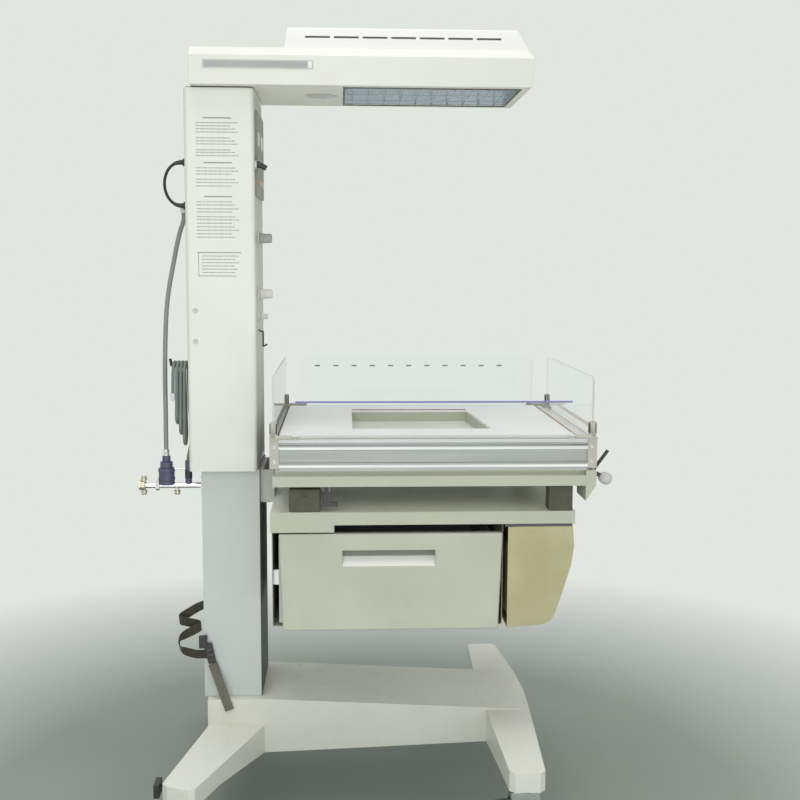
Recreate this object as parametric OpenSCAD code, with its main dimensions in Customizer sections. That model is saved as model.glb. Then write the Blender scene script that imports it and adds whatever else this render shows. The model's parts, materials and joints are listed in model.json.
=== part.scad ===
// Infant warmer: a column on a wheeled base carries a tilting bed with clear side panels, a drawer
// cabinet below the bed, and a radiant heater canopy that swivels above it.
// X runs from the head end, where the column stands, to the foot end of the bed, Y across it, Z up.
// Places along X and Y are counted from the middle of the bed, heights from the floor.

/* [Base] */
// Height of the base's top where the column stands
base_top_head = 291; // [275:1:310]
// Height of the base's top at the foot cross member
base_top_foot = 257; // [245:1:270]
// Height of the beam's underside at the head end
base_under_head = 156; // [150:1:165]
// Height of the beam's underside at the foot end
base_under_foot = 178; // [170:1:184]
// Width of the central beam
beam_w = 270; // [240:1:290]
// Head end face of the base, from the bed's middle
base_head_x = -534; // [-545:1:-525]
// Middle of the foot legs, from the bed's middle
foot_leg_x = 202; // [190:1:215]
// Width of the foot legs at the beam
foot_leg_root_w = 112; // [100:1:120]
// Reach of the foot legs' ends from the middle plane
foot_leg_reach = 441; // [420:1:470]
// Reach of the head legs' ends from the middle plane
head_leg_reach = 482; // [460:1:500]
// Width of the head legs at the beam
head_leg_root_w = 137; // [125:1:145]
// Angle by which the head legs splay away from the bed
head_leg_splay = 15; // [12:0.5:18]
// Width of every leg at its end
leg_end_w = 80; // [74:1:88]
// Thickness of every leg at its end
leg_end_t = 45; // [40:1:50]
// Thickness of the head legs at the beam
head_leg_root_t = 68; // [60:1:72]
// Radius of the legs' rounded end corners
leg_corner_r = 12; // [6:1:20]

/* [Casters] */
// Height of the caster plates above the floor
caster_h = 185; // [180:1:195]
// Diameter of the caster tyres
wheel_d = 150; // [140:1:156]
// Width of the caster tyres
wheel_w = 32; // [26:1:36]
// Thickness of the tread on its hub
tread_t = 16; // [10:1:20]
// Distance of the wheel axle behind the swivel axis
caster_trail = 42; // [36:1:48]
// Radius of the caster stem
stem_r = 7; // [6:0.5:9]
// Length of the stem inside the leg
stem_len = 30; // [24:1:34]
// Thickness of the fork's cheeks
fork_t = 4; // [3:0.5:6]
// Side clearance between wheel and fork cheek
wheel_gap = 3; // [2:0.5:4]
// Radius of the wheel axle
axle_r = 5; // [4:0.5:6]
// Distance of the caster stems from the leg ends
caster_inset = 42; // [40:1:50]
// Length of the brake pedal
pedal_len = 44; // [36:1:50]
// Thickness of the brake pedal
pedal_t = 13; // [10:1:16]
// Height of the brake pedal
pedal_h = 30; // [24:1:32]
// Up and down throw of the brake pedal in degrees
pedal_throw = 10; // [6:1:12]

/* [Column] */
// Width of the lower column along X
low_w = 138; // [130:1:146]
// Depth of the lower column along Y
low_d = 226; // [210:1:240]
// Front face of the lower column, from the bed's middle
low_front_x = -405; // [-407:1:-403]
// Sheet thickness of the column covers
cover_t = 2; // [1.5:0.5:3]
// Width of the mast inside the column along X
mast_w = 90; // [80:1:100]
// Depth of the mast along Y
mast_d = 150; // [130:1:170]
// Wall of the mast
mast_wall = 3; // [3:0.5:6]
// Thickness of the dark strip on the lower column's front
strip_t = 2; // [1.5:0.5:3]
// Margin of the dark strip at each side
strip_margin = 3; // [2:0.5:5]
// Width of the upper housing along X
house_w = 160; // [156:1:166]
// Depth of the upper housing along Y
house_d = 280; // [270:1:292]
// Front face of the upper housing, from the bed's middle
house_front_x = -408.5; // [-412:0.5:-408]
// Rise of the housing's lower edge above the cabinet's top
house_rise = 69; // [62:1:75]
// Height of the housing's upper edge
house_z1 = 1743; // [1735:1:1750]
// Radius of the housing's upright edges
house_r = 10; // [6:1:16]
// Thickness of the controls panel on the housing's front
panel_t = 3; // [2.5:0.5:4]

/* [Controls] */
// Height of the middle of the electronic controls
fascia_z = 1600; // [1590:1:1610]
// Height of the electronic controls' frame
fascia_h = 196; // [180:1:210]
// Width of the electronic controls' frame
fascia_w = 210; // [190:1:230]
// Thickness of the electronic controls' frame
fascia_t = 6; // [4:0.5:8]
// Width of one display window
display_w = 76; // [60:1:84]
// Height of one display window
display_h = 32; // [24:1:38]
// Width of a key
key_w = 22; // [16:1:26]
// Height of a key
key_h = 14; // [10:1:16]
// Travel of a key
key_travel = 1.5; // [1:0.25:2]
// Clearance round keys and knobs
key_gap = 0.6; // [0.4:0.1:1]
// Height of the upper knob's axis
knob_a_z = 1404; // [1396:1:1412]
// Height of the lower large knob's axis
knob_b_z = 1272; // [1264:1:1280]
// Height of the small knob's axis
knob_c_z = 1218; // [1212:1:1226]
// Radius of the large knobs
knob_r = 13; // [10:0.5:15]
// Length of the large knobs
knob_len = 28; // [22:1:34]
// Distance of the knob column from the middle plane
knob_y = 60; // [45:1:75]
// Radius of a knob's spindle
spindle_r = 3; // [2.5:0.25:4]
// Width of the gas block behind the knobs
gas_w = 44; // [36:1:50]
// Length of the gas block beyond the outer knobs' axes
gas_margin = 30; // [20:1:40]
// Height of the probe plug
plug_z = 1572; // [1560:1:1580]
// Radius of the probe plug's grip
plug_r = 8; // [6:0.5:10]
// Height of the front hook
hook_z = 1165; // [1150:1:1175]

/* [Canopy] */
// Length of the canopy
can_len = 780; // [760:1:800]
// Depth of the canopy
can_d = 338; // [320:1:350]
// Head end of the canopy, from the bed's middle
can_head_x = -552; // [-560:1:-545]
// Gap between the housing and the canopy
can_gap = 3; // [2:0.5:5]
// Height of the canopy's upright sides
can_side_h = 66; // [58:1:74]
// Rise of the canopy's bevelled top
can_bevel_h = 22; // [16:1:28]
// Inset of the canopy's bevelled top
can_bevel_in = 30; // [22:1:36]
// Slant of the canopy's foot end
can_slant = 8; // [4:1:12]
// Wall of the canopy's shell
can_wall = 3; // [2.5:0.5:4]
// Thickness of the canopy's underside plate
can_plate_t = 3; // [2:0.5:4]
// Length of the heater opening
heat_len = 404; // [380:1:412]
// Width of the heater opening
heat_w = 280; // [260:1:290]
// Head end of the heater opening, from the bed's middle
heat_x = -199; // [-205:1:-190]
// Distance between the bars of the heater grille
grille_pitch = 40; // [34:1:46]
// Depth of the heater's reflector
reflector_h = 48; // [40:1:54]
// Sheet thickness of the reflector
reflector_t = 1.5; // [1:0.25:2]
// Radius of the heater tubes
element_r = 5; // [4:0.5:7]
// Distance of the heater tubes from the middle plane
element_y = 48; // [40:1:60]
// Height of the heater tubes above the underside plate
element_rise = 26; // [20:1:32]
// Radius of the examination lamp's lens
lamp_r = 38; // [32:1:42]
// Middle of the examination lamp, from the bed's middle
lamp_x = -256; // [-262:1:-250]
// Length of the vent hood at its foot
hood_len = 566; // [550:1:580]
// Head end of the vent hood, from the bed's middle
hood_x = -338; // [-345:1:-330]
// Depth of the vent hood at its foot
hood_d = 262; // [240:1:270]
// Height of the vent hood
hood_h = 50; // [44:1:58]
// Number of vent slots along one side
slot_n = 7; // [5:1:8]
// Length of a vent slot
slot_len = 57; // [50:1:58]
// Height of a vent slot
slot_h = 5; // [4:0.5:7]
// Rib between two vent slots
slot_rib = 9; // [7:1:12]
// Head end of the first vent slot, from the bed's middle
slot_x0 = -290; // [-300:1:-280]
// Radius of the canopy's swivel post
post_r = 24; // [20:1:28]

/* [Bed] */
// Outside length of the bed's rail frame
tray_len = 737; // [725:1:750]
// Outside width of the bed's rail frame
tray_w = 610; // [596:1:624]
// Gap between the tray pan's band and the rails above it
rail_gap = 12; // [10:1:16]
// Height of a rail's profile
rail_h = 72; // [66:1:78]
// Thickness of a rail's profile
rail_t = 12; // [10:1:14]
// Width of the corner blocks
corner_w = 21; // [18:1:24]
// Height of the corner blocks
corner_h = 70; // [64:1:74]
// Rise of the white deck boards above the rails' upper lip
deck_rise = 7; // [5:1:10]
// Thickness of the deck boards
board_t = 6; // [4:0.5:8]
// Length of the bed's inside
deck_len = 677; // [665:1:680]
// Width of the bed's inside
deck_w = 570; // [560:1:576]
// Middle of the bed's inside, from the middle of its outside
deck_x = -14; // [-18:1:-10]
// Depth of the well between the deck boards
well_h = 30; // [24:1:36]
// Head end of the well
well_x0 = -182; // [-190:1:-170]
// Foot end of the well at the far side
well_x1 = 121; // [110:1:126]
// Far edge of the well from the middle plane
well_y = 178; // [165:1:190]
// Skew of the foot board's edge over the well's width
well_skew = 24; // [0:1:28]
// Gap between the cabinet's top and the tray pan
tray_gap = 62; // [55:1:67]
// Height of the tray pan's beige band
pan_h = 23; // [20:1:28]
// Wall and floor of the tray pan
pan_t = 3; // [2.5:0.5:4]
// Thickness of the coloured edge strips
strip_line = 4; // [3:0.5:5]

/* [Side panels] */
// Height of the clear panels at the far side and the ends
acryl_h = 131; // [120:1:140]
// Height of the near side panel
near_h = 76; // [60:1:90]
// Length of the side panels
side_len = 634; // [600:2:650]
// Thickness of the clear panels
acryl_t = 5; // [4:0.5:6]
// Radius of the panels' top corners
acryl_r = 14; // [8:1:22]
// Radius of the panels' hinge pins
pin_r = 3; // [2.5:0.25:3.5]
// Running clearance of hinge pins and spindles
pin_fit = 0.06; // [0.04:0.01:0.08]
// Height of the far side's graduation marks above the deck
tick_z = 106; // [100:1:116]
// Number of graduation marks
tick_n = 11; // [8:1:11]
// Distance from mark to mark
tick_pitch = 50; // [40:1:52]
// Length of a mark
tick_len = 14; // [8:1:20]
// Height of a mark
tick_h = 4; // [2:0.5:6]
// Height of the clips that hold the end panels
clip_h = 30; // [24:1:36]

/* [Tilt] */
// Upper limit of the bed's tilt in degrees
tilt_max = 8; // [4:1:8]
// Place of the tilt axis, from the bed's middle
tilt_x = -292; // [-300:1:-284]
// Drop of the tilt axis below the tray pan
tilt_drop = 21; // [17:1:24]
// Radius of the tilt pin
tilt_pin_r = 6; // [5:0.5:8]
// Width of the tilt bearing blocks along X
bearing_w = 70; // [62:1:76]
// Depth of the tilt bearing blocks along Y
bearing_d = 46; // [36:1:56]
// Distance of the tilt handle from the middle plane
handle_y = 230; // [215:1:240]
// Height of the tilt handle's axis above the tray pan's underside
handle_rise = 21; // [17:1:25]
// Radius of the grip on the tilt handle
grip_r = 14; // [11:0.5:16]

/* [Cabinet] */
// Height of the cabinet's top surface
cab_top = 785; // [780:1:788]
// Height of the bracket between the column and the cabinet
bracket_h = 80; // [70:1:84]
// Width of that bracket across the bed
bracket_w = 190; // [170:1:210]
// Wall of the bracket
bracket_t = 7; // [5:1:9]
// Height over which the bracket laps the cabinet's edge
bracket_lap = 15; // [12:1:20]
// Width of the bracket's arms
arm_w = 30; // [24:1:34]
// Distance of the arms from the mast's sides
arm_in = 12; // [8:1:16]
// Thickness of the cabinet's top plate
cab_top_h = 30; // [26:1:32]
// Head end of the cabinet, from the bed's middle
cab_x0 = -370; // [-374:1:-366]
// Foot end of the cabinet, from the bed's middle
cab_x1 = 326; // [318:1:332]
// Width of the cabinet across the bed
cab_w = 570; // [550:1:580]
// Height of the cabinet's underside
cab_z0 = 512; // [506:1:520]
// Sheet thickness of the cabinet
cab_t = 2; // [1.5:0.5:3]
// Drop of the deeper skirt at the cabinet's head end
skirt_h = 17; // [12:1:20]
// Foot end of the deeper skirt, from the bed's middle
skirt_x = -225; // [-232:1:-215]
// Width of the drawer front at its top
front_w = 511; // [500:1:514]
// Height of the drawer front
front_h = 226; // [220:1:232]
// Gap between the drawer front and the skirt above it
front_gap = 3; // [2:0.5:5]
// Head end of the drawer front, from the bed's middle
front_x = -351; // [-354:1:-348]
// Narrowing of the drawer front towards its foot, each side
front_taper = 8; // [4:1:10]
// Thickness of the drawer front
front_t = 22; // [18:1:26]
// Wall of the drawer's box
drawer_t = 2.5; // [2:0.5:3.5]
// Travel of the drawer
drawer_travel = 360; // [300:5:400]
// Width of the grip pocket in the drawer front
pocket_w = 211; // [190:1:220]
// Height of the grip pocket
pocket_h = 38; // [32:1:42]
// Height of the grip pocket's middle
pocket_z = 675; // [665:1:680]
// Gap between the drawer and the end cover
cover_gap = 12; // [9:1:16]
// Corner radius of the end cover
cover_r = 40; // [30:1:48]

/* [Hoses and strap] */
// Outside diameter of the gas hose
hose_d = 11; // [10:0.5:12]
// Outside diameter of the power lead
lead_d = 7; // [6:0.5:8]
// Outside diameter of the stowed tube
tube_d = 8; // [7:0.5:8.5]
// Width of the cylinder strap
strap_w = 22; // [18:1:25]
// Thickness of the cylinder strap
strap_th = 2.5; // [2:0.5:3]
// Reach of the gas manifold behind the housing
manifold_reach = 132; // [120:1:140]
// Radius of the manifold's bar
manifold_r = 7; // [6:0.5:9]

/* [Hidden] */
$fn = 48;
EPS = 0.01;
// Clearance of faces that move past each other, and of pieces that only rest on another body
SEAT = 0.3;
SLIDE = 1;
// Colours as they show
IVORY = [0.87, 0.88, 0.83];
BEIGE = [0.80, 0.80, 0.72];
DRAWER = [0.76, 0.77, 0.69];
YELLOWED = [0.75, 0.72, 0.55];
BLUISH = [0.78, 0.81, 0.84];
STEEL = [0.66, 0.68, 0.70];
DARK = [0.12, 0.12, 0.13];
CLEAR = [0.85, 0.92, 0.95, 0.3];

// Derived places
low_x0 = low_front_x - low_w;
house_z0 = cab_top + house_rise;
low_mid_x = low_front_x - low_w / 2;
house_x0 = house_front_x - house_w;
mast_x0 = low_mid_x - mast_w / 2;
mast_x1 = low_mid_x + mast_w / 2;
mast_top = house_z1 - 10;
can_z0 = house_z1 + can_gap;
can_side_z = can_z0 + can_side_h;
can_top = can_side_z + can_bevel_h;
can_foot_x = can_head_x + can_len;
tray_x0 = -tray_len / 2;
tray_x1 = tray_len / 2;
pan_z0 = cab_top + tray_gap;
tilt_z = pan_z0 - tilt_drop;
rail_z0 = pan_z0 + pan_h + rail_gap;
rail_top = rail_z0 + rail_h;
deck_z = rail_top + deck_rise;
deck_x0 = deck_x - deck_len / 2;
deck_x1 = deck_x + deck_len / 2;
half_tray = tray_w / 2;
acryl_z0 = deck_z + 1;
manifold_x0 = house_x0 - manifold_reach;
grip_x = tray_x1 + 38;
reach_foot = grip_x + grip_r;
// Puts the middle of the whole part's length on the origin
bed_x = -(manifold_x0 + reach_foot) / 2;

// Box between two places along each axis
module block(x, y, z)
  translate([x[0], y[0], z[0]])
    cube([x[1] - x[0], y[1] - y[0], z[1] - z[0]]);

// Outline in X and Z, drawn across Y
module across(y0, y1)
  translate([0, y1, 0])
    rotate([90, 0, 0])
      linear_extrude(y1 - y0) children();

// Outline in Y and Z, drawn along X
module along(x0, x1)
  translate([x0, 0, 0])
    rotate([90, 0, 90])
      linear_extrude(x1 - x0) children();

// Rectangle with round corners, by its ends along each axis
module round_rect(x, y, r) {
  translate([x[0] + r, y[0]]) square([x[1] - x[0] - 2 * r, y[1] - y[0]]);
  translate([x[0], y[0] + r]) square([x[1] - x[0], y[1] - y[0] - 2 * r]);
  for (px = [x[0] + r, x[1] - r], py = [y[0] + r, y[1] - r])
    translate([px, py]) circle(r);
}

// Round rod between two points
module rod(p, q, r) {
  d = q - p;
  translate(p)
    rotate([0, acos(d[2] / norm(d)), atan2(d[1], d[0])])
      cylinder(r = r, h = norm(d));
}

// Shaft along X
module shaft_x(x0, x1, y, z, r)
  translate([x0, y, z]) rotate([0, 90, 0]) cylinder(r = r, h = x1 - x0);

// Shaft along Y
module shaft_y(x, y0, y1, z, r)
  translate([x, y1, z]) rotate([90, 0, 0]) cylinder(r = r, h = y1 - y0);

// Everything is placed from the bed's middle
module at_bed() translate([bed_x, 0, 0]) children();

// A piece and its mirror image on the far side
module both_sides() {
  children();
  mirror([0, 1, 0]) children();
}

// Base
base_wall = 5;
beam_half = beam_w / 2;
head_root_x = base_head_x + head_leg_root_w / 2;
head_leg_cut = 24;
head_run = head_leg_reach - beam_half;
head_end_x = head_root_x - tan(head_leg_splay) * head_run;
leg_top = caster_h + leg_end_t;
foot_out_x = foot_leg_x + foot_leg_root_w / 2;
flat_len = 2 * caster_inset + 25;
leg_lap = 30;
leg_cut_h = 60;
knee_x = low_front_x + 12;
beam_x1 = foot_out_x - 30;
stem_boss_r = stem_r + 8;
// Axes of the four casters, head end first, near side first
stems = [for (x = [0, 1], s = [-1, 1]) x == 0
  ? [head_end_x + caster_inset * sin(head_leg_splay),
    s * (head_leg_reach - caster_inset * cos(head_leg_splay))]
  : [foot_leg_x, s * (foot_leg_reach - caster_inset)]];

// Plan of a head leg on the near side, drawn in by its wall
module head_leg_plan(in) {
  w = leg_end_w / 2 - in;
  ex = head_end_x;
  ey = -head_leg_reach + in;
  c = cos(head_leg_cut) * w;
  s = sin(head_leg_cut) * w;
  t = tan(head_leg_cut);
  k = leg_corner_r;
  polygon([[base_head_x + in, -beam_half + leg_lap], [base_head_x + in, -beam_half],
    [ex - c, ey + s + k], [ex - c + k, ey + s - k * t], [ex + c - k, ey - s + k * t], [ex + c, ey - s + k],
    [base_head_x + head_leg_root_w - in, -beam_half],
    [base_head_x + head_leg_root_w - in, -beam_half + leg_lap]]);
}

// Plan of a foot leg on the near side
module foot_leg_plan(in) {
  w = leg_end_w / 2 - in;
  r = foot_leg_root_w / 2 - in;
  ey = -foot_leg_reach + in;
  k = leg_corner_r;
  polygon([[foot_leg_x - r, 0], [foot_leg_x - r, -beam_half], [foot_leg_x - w, ey + k],
    [foot_leg_x - w + k, ey], [foot_leg_x + w - k, ey], [foot_leg_x + w, ey + k],
    [foot_leg_x + r, -20], [foot_leg_x + r, 0]]);
}

module base_form(in) {
  low = in > 0 ? leg_cut_h : 0;
  across(-beam_half + in, beam_half - in)
    polygon([[base_head_x + in, base_under_head - low], [base_head_x + in, base_top_head - in],
      [knee_x, base_top_head - in], [beam_x1 - in, base_top_foot - in],
      [beam_x1 - in, base_under_foot - low], [knee_x, base_under_head - low]]);
  both_sides() {
    intersection() {
      translate([0, 0, leg_cut_h]) linear_extrude(base_top_head) head_leg_plan(in);
      along(base_head_x - head_leg_reach, base_head_x + head_leg_root_w + 1)
        polygon([[0, base_under_head - low], [0, base_top_head - head_leg_root_t - in],
          [-head_leg_reach - leg_end_w, leg_top - in], [-head_leg_reach - leg_end_w, caster_h - low],
          [-head_leg_reach + flat_len, caster_h - low], [-beam_half, base_under_head - low]]);
    }
    intersection() {
      translate([0, 0, leg_cut_h]) linear_extrude(base_top_head) foot_leg_plan(in);
      along(foot_leg_x - foot_leg_root_w, foot_leg_x + foot_leg_root_w)
        polygon([[0, base_under_foot - low], [0, base_top_foot - in], [-beam_half, base_top_foot - 2 - in],
          [-foot_leg_reach, leg_top - in], [-foot_leg_reach - 1, caster_h - low],
          [-foot_leg_reach + flat_len, caster_h - low], [-beam_half, base_under_foot - low]]);
    }
  }
}

pedal_y = head_leg_reach - caster_inset - 34;
pedal_z = caster_h + leg_end_t / 2 - 2;
pedal_r = 5;
pedal_x1 = head_end_x - leg_end_w / 2 - 4;

module base_frame() color(IVORY) at_bed() {
  difference() {
    union() {
      difference() {
        base_form(0);
        base_form(base_wall);
      }
      intersection() {
        base_form(0);
        for (s = stems)
          translate([s[0], s[1], caster_h]) cylinder(r = stem_boss_r, h = 2 * leg_end_t);
      }
      shaft_x(pedal_x1 + 12, pedal_x1 + 34, -pedal_y, pedal_z, pedal_r + 5);
      block([pedal_x1 + 22, pedal_x1 + 32], [-pedal_y - 8, -pedal_y + 8], [pedal_z, leg_top - 4]);
    }
    for (s = stems)
      translate([s[0], s[1], caster_h - 1]) cylinder(r = stem_r + pin_fit, h = stem_len + 2);
    shaft_x(pedal_x1 - 10, pedal_x1 + 40, -pedal_y, pedal_z, pedal_r + pin_fit);
  }
}

module brake_near() color(DARK) at_bed() {
  shaft_x(pedal_x1 - 8, pedal_x1 + 33, -pedal_y, pedal_z, pedal_r);
  block([pedal_x1 - 4 - pedal_t, pedal_x1 - 4], [-pedal_y - pedal_len / 2, -pedal_y + pedal_len / 2],
    [pedal_z + pedal_r + 1 - pedal_h, pedal_z + pedal_r + 1]);
}

// Casters
wheel_r = wheel_d / 2;
fork_in = wheel_w / 2 + wheel_gap;
fork_out = fork_in + fork_t;
crown_z0 = wheel_d + 6;
crown_z1 = caster_h - 9;
crown_r = 26;
fork_x = [-34, 30];
eye_r = axle_r + 7;
hub_t = 9;
web_w = wheel_w * 0.4;
shoulder_r = 5;

// Side that each caster trails to as photographed: the far one at the head end stands turned round
trail_side = [-1, 1, -1, -1];
module fork(i) translate([bed_x + stems[i][0], stems[i][1], 0]) mirror([trail_side[i] > 0 ? 1 : 0, 0, 0]) {
  translate([0, 0, crown_z1]) cylinder(r = crown_r, h = caster_h - SEAT - crown_z1);
  translate([0, 0, crown_z1]) cylinder(r = stem_r, h = caster_h + stem_len - crown_z1);
  block(fork_x, [-fork_out, fork_out], [crown_z0, crown_z1]);
  both_sides() across(fork_in, fork_out) {
    polygon([[fork_x[0], crown_z0], [fork_x[1], crown_z0], [-caster_trail + eye_r, wheel_r],
      [-caster_trail - eye_r, wheel_r]]);
    translate([-caster_trail, wheel_r]) circle(eye_r);
  }
  shaft_y(-caster_trail, -fork_out - 3, fork_out + 3, wheel_r, axle_r);
}

module wheel(i) translate([bed_x + stems[i][0] + trail_side[i] * caster_trail, stems[i][1], wheel_r])
  rotate([90, 0, 0])
    rotate_extrude() difference() {
      union() {
        translate([axle_r, -wheel_w / 2]) square([hub_t, wheel_w]);
        translate([axle_r, -web_w / 2]) square([wheel_r - axle_r - tread_t + 1, web_w]);
        translate([wheel_r - tread_t, -wheel_w / 2]) square([tread_t - shoulder_r, wheel_w]);
        translate([wheel_r - shoulder_r - 1, -wheel_w / 2 + shoulder_r])
          square([shoulder_r + 1, wheel_w - 2 * shoulder_r]);
        for (s = [-1, 1])
          translate([wheel_r - shoulder_r, s * (wheel_w / 2 - shoulder_r)]) circle(shoulder_r);
      }
      translate([-EPS, -wheel_w]) square([axle_r + pin_fit + EPS, 2 * wheel_w]);
    }

module fork_head_near() color(STEEL) fork(0);
module fork_head_far() color(STEEL) fork(1);
module fork_foot_near() color(STEEL) fork(2);
module fork_foot_far() color(STEEL) fork(3);
module wheel_head_near() color(DARK) wheel(0);
module wheel_head_far() color(DARK) wheel(1);
module wheel_foot_near() color(DARK) wheel(2);
module wheel_foot_far() color(DARK) wheel(3);

// Column
module mast() color(STEEL) at_bed() {
  difference() {
    block([mast_x0, mast_x1], [-mast_d / 2, mast_d / 2], [base_top_head, mast_top]);
    block([mast_x0 + mast_wall, mast_x1 - mast_wall], [-mast_d / 2 + mast_wall, mast_d / 2 - mast_wall],
      [base_top_head - 1, mast_top - 2 * mast_wall]);
  }
  block([mast_x0 - 12, mast_x1 + 8], [-mast_d / 2 - 15, mast_d / 2 + 15],
    [base_top_head, base_top_head + 10]);
}

// Bracket of the bed, and its arms that reach the mast through the lower cover
bracket_half = bracket_w / 2;
bracket_z0 = cab_top - bracket_lap;
bracket_z1 = bracket_z0 + bracket_h;
arm_y = [-mast_d / 2 + arm_in, -mast_d / 2 + arm_in + arm_w];
arm_z = [bracket_z0 + bracket_t + SLIDE, bracket_z1 - bracket_t - SLIDE];

module lower_cover() color(BLUISH) at_bed() difference() {
  block([low_x0, low_front_x], [-low_d / 2, low_d / 2], [base_top_head, house_z0]);
  block([low_x0 + cover_t, low_front_x - cover_t], [-low_d / 2 + cover_t, low_d / 2 - cover_t],
    [base_top_head - 1, house_z0 + 1]);
  both_sides() block([low_front_x - cover_t - 1, low_front_x + 1], [arm_y[0] - SLIDE, arm_y[1] + SLIDE],
    [arm_z[0] - SLIDE, arm_z[1] + SLIDE]);
}

module front_strip() color(DARK) at_bed()
  block([low_front_x, low_front_x + strip_t], [-low_d / 2 + strip_margin, low_d / 2 - strip_margin],
    [base_top_head + EPS, bracket_z0 - SLIDE]);

// Rear outlets: two glands of the power lead, and the elbow that the gas hose hangs from
gland_r = 9;
gland_len = 12;
rear_y = -60;
lead_z = [1581, 1480];
elbow_x = house_x0 - 16.5;
elbow_y = rear_y + 26;
elbow_z = 1478;
elbow_end_z = 1464;
elbow_r = 8;
panel_half = house_d / 2 - house_r - 4;

module column_housing() color(IVORY) at_bed() {
  difference() {
    translate([0, 0, house_z0]) linear_extrude(house_z1 - house_z0)
      round_rect([house_x0, house_front_x], [-house_d / 2, house_d / 2], house_r);
    translate([0, 0, house_z0 + cover_t]) linear_extrude(house_z1 - house_z0 - 2 * cover_t)
      round_rect([house_x0 + cover_t, house_front_x - cover_t], [-house_d / 2 + cover_t, house_d / 2 - cover_t],
        house_r - cover_t);
    block([house_front_x - 20, house_front_x + 1], [-panel_half, panel_half], [house_z0 + 12, house_z1 - 12]);
    block([mast_x0 - SLIDE, mast_x1 + SLIDE], [-mast_d / 2 - SLIDE, mast_d / 2 + SLIDE],
      [house_z0 - 1, house_z0 + 10]);
    translate([low_mid_x, 0, house_z1 - 10]) cylinder(r = post_r + 2, h = 20);
  }
  for (z = lead_z) shaft_x(house_x0 - gland_len, house_x0 + EPS, rear_y, z, gland_r);
  shaft_x(elbow_x, house_x0 + EPS, elbow_y, elbow_z, elbow_r);
  translate([elbow_x, elbow_y, elbow_z]) sphere(elbow_r);
  translate([elbow_x, elbow_y, elbow_end_z]) cylinder(r = elbow_r, h = elbow_z - elbow_end_z);
}

knobs = [[knob_a_z, knob_r], [knob_b_z, knob_r], [knob_c_z, knob_r * 0.6]];
flange_t = 6;
block_x1 = house_front_x - panel_t;

module controls_panel() color(BEIGE) at_bed() difference() {
  union() {
    block([block_x1, house_front_x], [-panel_half, panel_half], [house_z0 + 12, house_z1 - 12]);
    for (k = knobs) shaft_x(house_front_x, house_front_x + flange_t, -knob_y, k[0], k[1] + 4);
    shaft_x(house_front_x, house_front_x + 5, -fascia_w / 2 - 12, plug_z, plug_r + 2);
  }
  for (k = knobs) shaft_x(block_x1 - 1, house_front_x + flange_t + 1, -knob_y, k[0], spindle_r + pin_fit);
  shaft_x(house_front_x - 1, house_front_x + 6, -fascia_w / 2 - 12, plug_z, 4);
}

keys_y = [-60, 0, 60];
key_row_z = fascia_z - fascia_h / 2 + 34;

module fascia() color(BEIGE) at_bed() difference() {
  block([house_front_x, house_front_x + fascia_t], [-fascia_w / 2, fascia_w / 2],
    [fascia_z - fascia_h / 2, fascia_z + fascia_h / 2]);
  for (s = [-1, 1])
    block([house_front_x + fascia_t - 1, house_front_x + fascia_t + 1],
      [s * fascia_w / 4 - display_w / 2, s * fascia_w / 4 + display_w / 2],
      [fascia_z + 20, fascia_z + 20 + display_h]);
  for (y = keys_y)
    block([house_front_x - 1, house_front_x + fascia_t + 1],
      [y - key_w / 2 - key_gap, y + key_w / 2 + key_gap],
      [key_row_z - key_h / 2 - key_gap, key_row_z + key_h / 2 + key_gap]);
}

module key_at(y) at_bed()
  block([house_front_x + key_travel + SEAT, house_front_x + fascia_t + 2], [y - key_w / 2, y + key_w / 2],
    [key_row_z - key_h / 2, key_row_z + key_h / 2]);
module key_silence() color("darkorange") key_at(keys_y[0]);
module key_up() color("gainsboro") key_at(keys_y[1]);
module key_down() color("gainsboro") key_at(keys_y[2]);

module controller_box() color(STEEL) at_bed() difference() {
  block([mast_x1 + 1, block_x1], [-fascia_w / 2 + 10, fascia_w / 2 - 10],
    [fascia_z - fascia_h / 2 + 8, fascia_z + fascia_h / 2 - 8]);
  block([mast_x1 + 3, block_x1 + 1], [-fascia_w / 2 + 12, fascia_w / 2 - 12],
    [fascia_z - fascia_h / 2 + 10, fascia_z + fascia_h / 2 - 10]);
}

module gas_block() color(STEEL) at_bed() difference() {
  block([mast_x1 + 1, block_x1], [-knob_y - gas_w / 2, -knob_y + gas_w / 2],
    [knob_c_z - gas_margin, knob_a_z + gas_margin]);
  for (k = knobs) shaft_x(mast_x1, block_x1 + 1, -knob_y, k[0], spindle_r + pin_fit);
}

module knob(i) at_bed() {
  x0 = house_front_x + flange_t + SLIDE;
  len = i == 2 ? knob_len * 0.6 : knob_len;
  r = knobs[i][1];
  shaft_x(mast_x1 + 3, x0 + EPS, -knob_y, knobs[i][0], spindle_r);
  difference() {
    shaft_x(x0, x0 + len, -knob_y, knobs[i][0], r);
    for (a = [0 : 45 : 315])
      shaft_x(x0 + len * 0.3, x0 + len + 1, -knob_y + (r + 1) * cos(a), knobs[i][0] + (r + 1) * sin(a),
        r / 5);
  }
}
module knob_flow() color("palegreen") knob(0);
module knob_suction() color("gainsboro") knob(1);
module knob_valve() color("gainsboro") knob(2);

module probe_plug() color(DARK) at_bed() {
  y = -fascia_w / 2 - 12;
  shaft_x(house_front_x + 1, house_front_x + 6, y, plug_z, 3.9);
  shaft_x(house_front_x + 5, house_front_x + 12, y, plug_z, plug_r);
  rod([house_front_x + 11, y, plug_z], [house_front_x + 27, y, plug_z - 8], plug_r * 0.8);
}

// Front hook: its rod, its reach, half its height and its lip
hook_r = 2;
hook_reach = 12;
hook_half = 20;
hook_lip = 10;
// Rear hook: its rod, the plate that it stands on and its raised tip
rear_hook_z = 1100;
rear_hook_r = 4;
rear_plate_half_w = 12;
rear_plate_half_h = 18;
rear_tip_r = 3.5;
rear_tip_rise = 16;
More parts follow.
